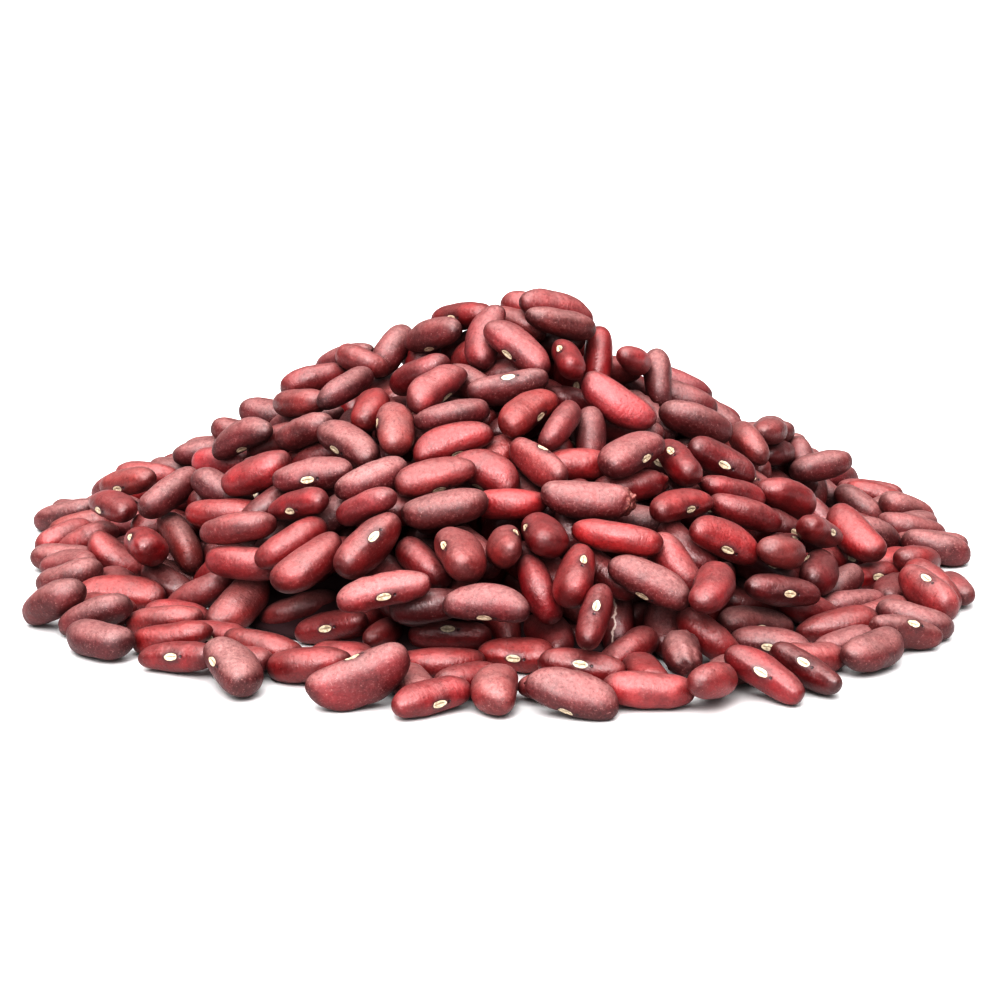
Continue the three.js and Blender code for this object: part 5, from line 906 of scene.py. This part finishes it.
# ---------------------------------------------------------------------------
# Materials
class Nodes:
    def __init__(self, name):
        self.mat = bpy.data.materials.new(name)
        self.mat.use_nodes = True
        self.tree = self.mat.node_tree
        self.tree.nodes.clear()
        self.out = self.tree.nodes.new("ShaderNodeOutputMaterial")

    def add(self, kind, **props):
        n = self.tree.nodes.new(kind)
        for k, v in props.items():
            setattr(n, k, v)
        return n

    def link(self, a, b):
        self.tree.links.new(a, b)

    def value(self, socket, v):
        if isinstance(v, bpy.types.NodeSocket):
            self.link(v, socket)
        else:
            socket.default_value = v

    def math(self, op, a, b=None, c=None, clamp=False):
        n = self.add("ShaderNodeMath", operation=op, use_clamp=clamp)
        self.value(n.inputs[0], a)
        if b is not None:
            self.value(n.inputs[1], b)
        if c is not None:
            self.value(n.inputs[2], c)
        return n.outputs[0]

    def step(self, v, low, high, a=0.0, b=1.0):
        n = self.add("ShaderNodeMapRange", interpolation_type="SMOOTHSTEP")
        self.value(n.inputs["Value"], v)
        n.inputs["From Min"].default_value = low
        n.inputs["From Max"].default_value = high
        n.inputs["To Min"].default_value = a
        n.inputs["To Max"].default_value = b
        return n.outputs["Result"]

    def mix(self, f, a, b, blend="MIX"):
        n = self.add("ShaderNodeMix", data_type="RGBA", blend_type=blend)
        self.value(n.inputs["Factor"], f)
        for s, v in ((n.inputs[6], a), (n.inputs[7], b)):
            self.value(s, v if isinstance(v, bpy.types.NodeSocket) else (*v, 1.0))
        return n.outputs[2]

    def noise(self, vec, scale, detail=3.0, rough=0.55, distort=0.0, stretch=None):
        if stretch:
            m = self.add("ShaderNodeMapping")
            self.link(vec, m.inputs["Vector"])
            m.inputs["Scale"].default_value = stretch
            vec = m.outputs[0]
        n = self.add("ShaderNodeTexNoise")
        self.link(vec, n.inputs["Vector"])
        n.inputs["Scale"].default_value = scale
        n.inputs["Detail"].default_value = detail
        n.inputs["Roughness"].default_value = rough
        n.inputs["Distortion"].default_value = distort
        return n.outputs["Fac"]

    def attribute(self, name):
        n = self.add("ShaderNodeAttribute", attribute_name=name, attribute_type="GEOMETRY")
        return n


GLOSS = {  # roughness, coat, coat roughness
    1: (0.42, 0.36, 0.14),
    2: (0.43, 0.34, 0.14),
    3: (0.44, 0.32, 0.15),
    4: (0.47, 0.28, 0.18),
    5: (0.50, 0.22, 0.22),
}


def bean_skin(kind):
    g = Nodes("bean_skin_" + KINDS[kind])
    rough, coat, coat_rough = GLOSS[kind]
    vec = g.attribute("bean_noise").outputs["Vector"]
    loc = g.attribute("bean_local").outputs["Vector"]
    col = g.attribute("bean_skin").outputs["Color"]
    tr = g.add("ShaderNodeSeparateXYZ")
    g.link(g.attribute("bean_traits").outputs["Vector"], tr.inputs[0])
    dust_amount, wear, streak = tr.outputs
    xyz = g.add("ShaderNodeSeparateXYZ")
    g.link(loc, xyz.inputs[0])
    x, y, z = xyz.outputs

    # cloudy darker and lighter patches, faint streaks along the bean
    cloud = g.noise(vec, 0.30, 4, 0.6)
    base = g.mix(g.step(cloud, 0.30, 0.72), g.mix(1.0, col, (0.80, 0.76, 0.80), "MULTIPLY"), g.mix(1.0, col, (1.16, 1.18, 1.15), "MULTIPLY"))
    lines = g.noise(vec, 1.0, 3, 0.6, stretch=(0.22, 1.1, 1.1))
    base = g.mix(g.math("MULTIPLY", g.step(lines, 0.50, 0.72), 0.30), base, g.mix(1.0, base, (0.52, 0.42, 0.46), "MULTIPLY"))

    # pale dust and small pores
    film = g.noise(vec, 1.5, 8, 0.72)
    film = g.math("MULTIPLY", g.step(film, 0.40, 0.76), dust_amount, clamp=True)
    base = g.mix(g.math("MULTIPLY", film, 0.16), base, (0.36, 0.150, 0.150))
    # more of the pale dust on what faces up, which also serves as a painted sheen of the light from above
    facing = g.add("ShaderNodeSeparateXYZ")
    g.link(g.add("ShaderNodeNewGeometry").outputs["Normal"], facing.inputs[0])
    settled_dust_and_sheen = g.math("MULTIPLY", g.step(facing.outputs[2], 0.15, 0.95), g.step(g.noise(vec, 1.1, 7, 0.7), 0.30, 0.62, 0.55, 1.0))
    settled_dust_and_sheen = g.math("MULTIPLY", settled_dust_and_sheen, g.math("MULTIPLY_ADD", dust_amount, 0.32, 0.19), clamp=True)
    base = g.mix(settled_dust_and_sheen, base, (0.44, 0.275, 0.260))
    cells = g.add("ShaderNodeTexVoronoi", feature="F1")
    g.link(vec, cells.inputs["Vector"])
    cells.inputs["Scale"].default_value = 1.8
    sep = g.add("ShaderNodeSeparateColor")
    g.link(cells.outputs["Color"], sep.inputs[0])
    dot = g.step(g.math("DIVIDE", cells.outputs["Distance"], g.math("ADD", g.math("MULTIPLY", sep.outputs[1], 0.22), 0.10)), 0.6, 1.0, 1.0, 0.0)
    dot = g.math("MULTIPLY", dot, g.step(sep.outputs[0], 0.55, 0.85))
    dot = g.math("MULTIPLY", dot, g.step(g.noise(vec, 0.35, 2, 0.5), 0.40, 0.60, 0.25, 1.0))
    base = g.mix(g.math("MULTIPLY", dot, g.math("ADD", g.math("MULTIPLY", dust_amount, 0.38), 0.10), clamp=True), base, (0.42, 0.24, 0.21))
    # fine grain of pale dust and dark pores
    grain = g.noise(vec, 1.9, 4, 0.80)
    base = g.mix(g.math("MULTIPLY", g.step(grain, 0.55, 0.68), g.math("MULTIPLY_ADD", dust_amount, 0.32, 0.12)), base, (0.40, 0.220, 0.205))
    base = g.mix(g.math("MULTIPLY", g.step(grain, 0.34, 0.46, 1.0, 0.0), 0.72), base, g.mix(1.0, base, (0.48, 0.34, 0.36), "MULTIPLY"))

    # scuffs: small pale scratches
    scuff = g.noise(vec, 1.0, 2, 0.5, 0.6, stretch=(0.35, 2.6, 2.6))
    scuff = g.math("MULTIPLY", g.step(scuff, 0.70, 0.74), 0.16)
    base = g.mix(scuff, base, (0.42, 0.23, 0.20))

    # worn or broken end: pale inside showing
    end = g.step(g.math("ADD", x, g.math("MULTIPLY", g.noise(vec, 0.9, 3, 0.6), 3.0)), 7.9, 8.7)
    end = g.math("MULTIPLY", end, wear)
    base = g.mix(g.math("MULTIPLY", end, 0.50), base, g.mix(g.step(g.noise(vec, 2.2, 4, 0.7), 0.4, 0.7), (0.11, 0.018, 0.018), (0.45, 0.22, 0.17)))
    line = g.step(g.math("ABSOLUTE", g.math("ADD", z, g.math("MULTIPLY_ADD", g.noise(vec, 0.6, 2, 0.5), 1.6, -1.6))), 0.10, 0.34, 1.0, 0.0)
    base = g.mix(g.math("MULTIPLY", line, streak), base, (0.46, 0.36, 0.32))

    # the eye
    wob = g.math("MULTIPLY_ADD", g.noise(vec, 1.3, 2, 0.5), 0.24, -0.12)
    e = g.math("SQRT", g.math("ADD", g.math("POWER", g.math("DIVIDE", x, EYE[0]), 2.0), g.math("POWER", g.math("DIVIDE", z, EYE[1]), 2.0)))
    e = g.math("ADD", e, wob)
    inner = g.step(y, -1.2, -2.0)  # only on the eye's own side
    white = g.math("MULTIPLY", g.step(e, 0.90, 1.02, 1.0, 0.0), inner)
    # a soft darker halo round it, stronger towards the end with the pore
    halo_at = g.math("SQRT", g.math("ADD", g.math("POWER", g.math("DIVIDE", g.math("SUBTRACT", x, 0.45), EYE[0] + 0.9), 2.0), g.math("POWER", g.math("DIVIDE", z, EYE[1] + 0.75), 2.0)))
    ring = g.math("MULTIPLY", g.step(halo_at, 0.55, 1.25, 1.0, 0.0), inner)
    slit = g.math("MULTIPLY", g.step(g.math("ABSOLUTE", z), 0.05, 0.15, 1.0, 0.0), g.step(g.math("ABSOLUTE", x), EYE[0] * 0.60, EYE[0] * 0.86, 1.0, 0.0))
    slit = g.math("MULTIPLY", slit, white)
    speck = g.math("SQRT", g.math("ADD", g.math("POWER", g.math("SUBTRACT", x, EYE[0] + 0.62), 2.0), g.math("POWER", z, 2.0)))
    speck = g.math("MULTIPLY", g.step(speck, 0.16, 0.36, 1.0, 0.0), inner)
    base = g.mix(g.math("MULTIPLY", ring, 0.45), base, (0.042, 0.008, 0.011))
    cream = g.mix(g.step(g.noise(vec, 1.6, 4, 0.65), 0.35, 0.65), (0.360, 0.290, 0.205), (0.580, 0.500, 0.390))
    rim = g.math("MULTIPLY", g.math("MULTIPLY", g.step(e, 0.92, 1.04), g.step(e, 1.10, 1.28, 1.0, 0.0)), inner)
    base = g.mix(g.math("MULTIPLY", rim, 0.60), base, (0.035, 0.008, 0.009))
    base = g.mix(white, base, cream)
    base = g.mix(g.math("MULTIPLY", slit, 0.40), base, (0.150, 0.090, 0.052))
    base = g.mix(g.math("MULTIPLY", speck, 0.85), base, (0.02, 0.008, 0.010))

    # surface
    fine = g.noise(vec, 1.7, 6, 0.72)
    coarse = g.noise(vec, 0.75, 3, 0.55)
    crinkle = g.noise(vec, 1.0, 3, 0.6, 0.8, stretch=(1.3, 0.45, 0.45))
    bump1 = g.add("ShaderNodeBump")
    bump1.inputs["Strength"].default_value = 0.75
    bump1.inputs["Distance"].default_value = 0.00019
    h = g.math("ADD", g.math("MULTIPLY", fine, 0.5), g.math("MULTIPLY", coarse, 0.9))
    h = g.math("ADD", h, g.math("MULTIPLY", crinkle, 0.7))
    h = g.math("ADD", h, g.math("MULTIPLY", dot, -0.4))
    h = g.math("ADD", h, g.math("MULTIPLY", slit, -1.2))
    h = g.math("ADD", h, g.math("MULTIPLY", speck, -1.0))
    g.link(h, bump1.inputs["Height"])

    r = g.math("MULTIPLY_ADD", g.noise(vec, 0.6, 4, 0.6), 0.26, rough - 0.13)
    r = g.math("ADD", r, g.math("MULTIPLY", film, 0.22))
    r = g.math("MAXIMUM", r, g.math("MULTIPLY", white, 0.62), clamp=True)

    b = g.add("ShaderNodeBsdfPrincipled")
    g.link(base, b.inputs["Base Color"])
    g.link(r, b.inputs["Roughness"])
    g.link(bump1.outputs[0], b.inputs["Normal"])
    g.link(bump1.outputs[0], b.inputs["Coat Normal"])
    b.inputs["IOR"].default_value = 1.60
    b.inputs["Coat Weight"].default_value = coat
    b.inputs["Coat Roughness"].default_value = coat_rough
    g.link(b.outputs[0], g.out.inputs[0])
    return g.mat


def core_skin():
    g = Nodes("heap_core_skin")
    geo = g.add("ShaderNodeTexCoord")
    n = g.noise(geo.outputs["Object"], 120, 4, 0.6)
    b = g.add("ShaderNodeBsdfPrincipled")
    # painted shade: the core is near black, so it shows as shadow in the gaps between the beans
    g.link(g.mix(n, (0.020, 0.006, 0.008), (0.050, 0.014, 0.017)), b.inputs["Base Color"])
    b.inputs["Roughness"].default_value = 0.7
    g.link(b.outputs[0], g.out.inputs[0])
    return g.mat


# ---------------------------------------------------------------------------
# The pieces
by_piece = {}
for number, row in enumerate(BEANS):
    half = "front" if row[1] < -18 else "back"
    by_piece.setdefault((row[11], half), []).append((number, row))

skins = {k: bean_skin(k) for k in KINDS}
total = 0
for (kind, half), rows in sorted(by_piece.items()):
    ob = join_beans(f"beans_{KINDS[kind]}_{half}", rows)
    ob.data.materials.append(skins[kind])
    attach(ob, "root")
    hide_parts("bean_heap")
    tris = sum(len(p.vertices) - 2 for p in ob.data.polygons)
    total += tris
    print("piece", ob.name, len(rows), "beans", tris, "triangles")
print("triangles in all", total)


def heap_core():
    """The mound under the beans: a low cone, uneven, all of it below the outer beans."""
    rings, around = 30, 72
    rng = np.random.default_rng(77)
    pts = [(CORE_TOP[0], CORE_TOP[1], CORE_HEIGHT)]
    for i in range(1, rings + 1):
        q = i / rings
        for k in range(around):
            a = 2 * math.pi * k / around
            r = q * CORE_RADIUS
            pts.append((CORE_TOP[0] * (1 - q) + r * math.cos(a), CORE_TOP[1] * (1 - q) + r * math.sin(a), CORE_HEIGHT * (1 - q) + 1.2))
    pts = np.array(pts)
    pts[1:, 2] += 1.0 * waves(rng, pts[1:], 11, 6) * (pts[1:, 2] > 4)
    rim = pts[-around:].copy()
    rim[:, 2] = 0.2
    centre = np.array([[0, 0, 0.2]])
    pts = np.concatenate([pts, rim, centre])
    faces = []
    for k in range(around):
        faces.append((0, 1 + k, 1 + (k + 1) % around))
    for i in range(rings):
        a = 1 + i * around
        for k in range(around):
            faces.append((a + k, a + around + k, a + around + (k + 1) % around, a + (k + 1) % around))
    a = 1 + rings * around
    for k in range(around):
        faces.append((a + k, len(pts) - 1, a + (k + 1) % around))
    pts = (pts + np.array([MIDDLE[0], MIDDLE[1], 0])) * MM
    mesh = bpy.data.meshes.new("heap_core")
    mesh.from_pydata([tuple(p) for p in pts], [], faces)
    mesh.validate()
    mesh.update()
    for p in mesh.polygons:
        p.use_smooth = True
    ob = bpy.data.objects.new("heap_core", mesh)
    bpy.context.scene.collection.objects.link(ob)
    return ob


CORE_TOP = (4.0, -1.0)
CORE_HEIGHT = 33.0
CORE_RADIUS = 66.0
core = heap_core()
# the core's near-black colour is painted shade for the gaps between the beans
core.data.materials.append(core_skin())
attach(core, "root")
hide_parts("bean_heap")

# ---------------------------------------------------------------------------
# Floor, light and camera
bpy.ops.mesh.primitive_plane_add(size=14.0, location=(0, 2.0, -0.0001))
floor = bpy.context.object
floor.name = "floor"
g = Nodes("floor_pale")
b = g.add("ShaderNodeBsdfPrincipled")
b.inputs["Base Color"].default_value = (0.6, 0.6, 0.6, 1)
b.inputs["Roughness"].default_value = 0.9
b.inputs["Specular IOR Level"].default_value = 0.1
g.link(b.outputs[0], g.out.inputs[0])
floor.data.materials.append(g.mat)

scene = bpy.context.scene
world = bpy.data.worlds.new("studio")
scene.world = world
world.use_nodes = True
wn = world.node_tree.nodes
wl = world.node_tree.links
ambient = wn["Background"]
ambient.inputs[0].default_value = (1.0, 0.985, 1.0, 1)
ambient.inputs[1].default_value = 0.15
seen = wn.new("ShaderNodeBackground")
seen.inputs[0].default_value = (1.0, 1.0, 1.0, 1)
seen.inputs[1].default_value = 1.0
path = wn.new("ShaderNodeLightPath")
pick = wn.new("ShaderNodeMixShader")
wl.new(path.outputs["Is Camera Ray"], pick.inputs[0])
wl.new(ambient.outputs[0], pick.inputs[1])
wl.new(seen.outputs[0], pick.inputs[2])
wl.new(pick.outputs[0], wn["World Output"].inputs[0])


def sun(name, towards, strength, angle, colour=(1, 1, 1)):
    light = bpy.data.lights.new(name, "SUN")
    light.energy = strength
    light.angle = math.radians(angle)
    light.color = colour
    ob = bpy.data.objects.new(name, light)
    scene.collection.objects.link(ob)
    from mathutils import Vector

    ob.rotation_euler = (-Vector(towards)).to_track_quat("-Z", "Y").to_euler()
    return ob


def area(name, at, to, size, power, colour=(1, 1, 1), size_y=None):
    light = bpy.data.lights.new(name, "AREA")
    light.energy = power
    light.color = colour
    light.size = size
    if size_y:
        light.shape = "RECTANGLE"
        light.size_y = size_y
    ob = bpy.data.objects.new(name, light)
    scene.collection.objects.link(ob)
    ob.location = at
    d = np.array(to, float) - np.array(at, float)
    from mathutils import Vector

    ob.rotation_euler = Vector(d).to_track_quat("-Z", "Y").to_euler()
    return ob


sun("front", (-0.16, -1.0, 0.60), 2.7, 70)
sun("top", (-0.06, -0.35, 1.0), 4.8, 95)
sun("key", (-0.12, -1.0, 0.85), 0.85, 12)

camera_data = bpy.data.cameras.new("camera")
camera = bpy.data.objects.new("camera", camera_data)
scene.collection.objects.link(camera)
camera_data.sensor_width = 36.0
camera_data.lens = 36.0 * 2654.0 / 1000.0
camera_data.clip_start = 0.01
camera_data.clip_end = 50.0
PITCH = 14.0625  # degrees below the horizon
camera.location = (MIDDLE[0] * MM, -0.539633 + MIDDLE[1] * MM, 0.149653)
camera.rotation_euler = (math.radians(90.0 - PITCH), 0.0, 0.0)
scene.camera = camera

scene.view_settings.view_transform = "Standard"
scene.view_settings.look = "None"
scene.view_settings.exposure = 0.50
scene.view_settings.gamma = 0.64
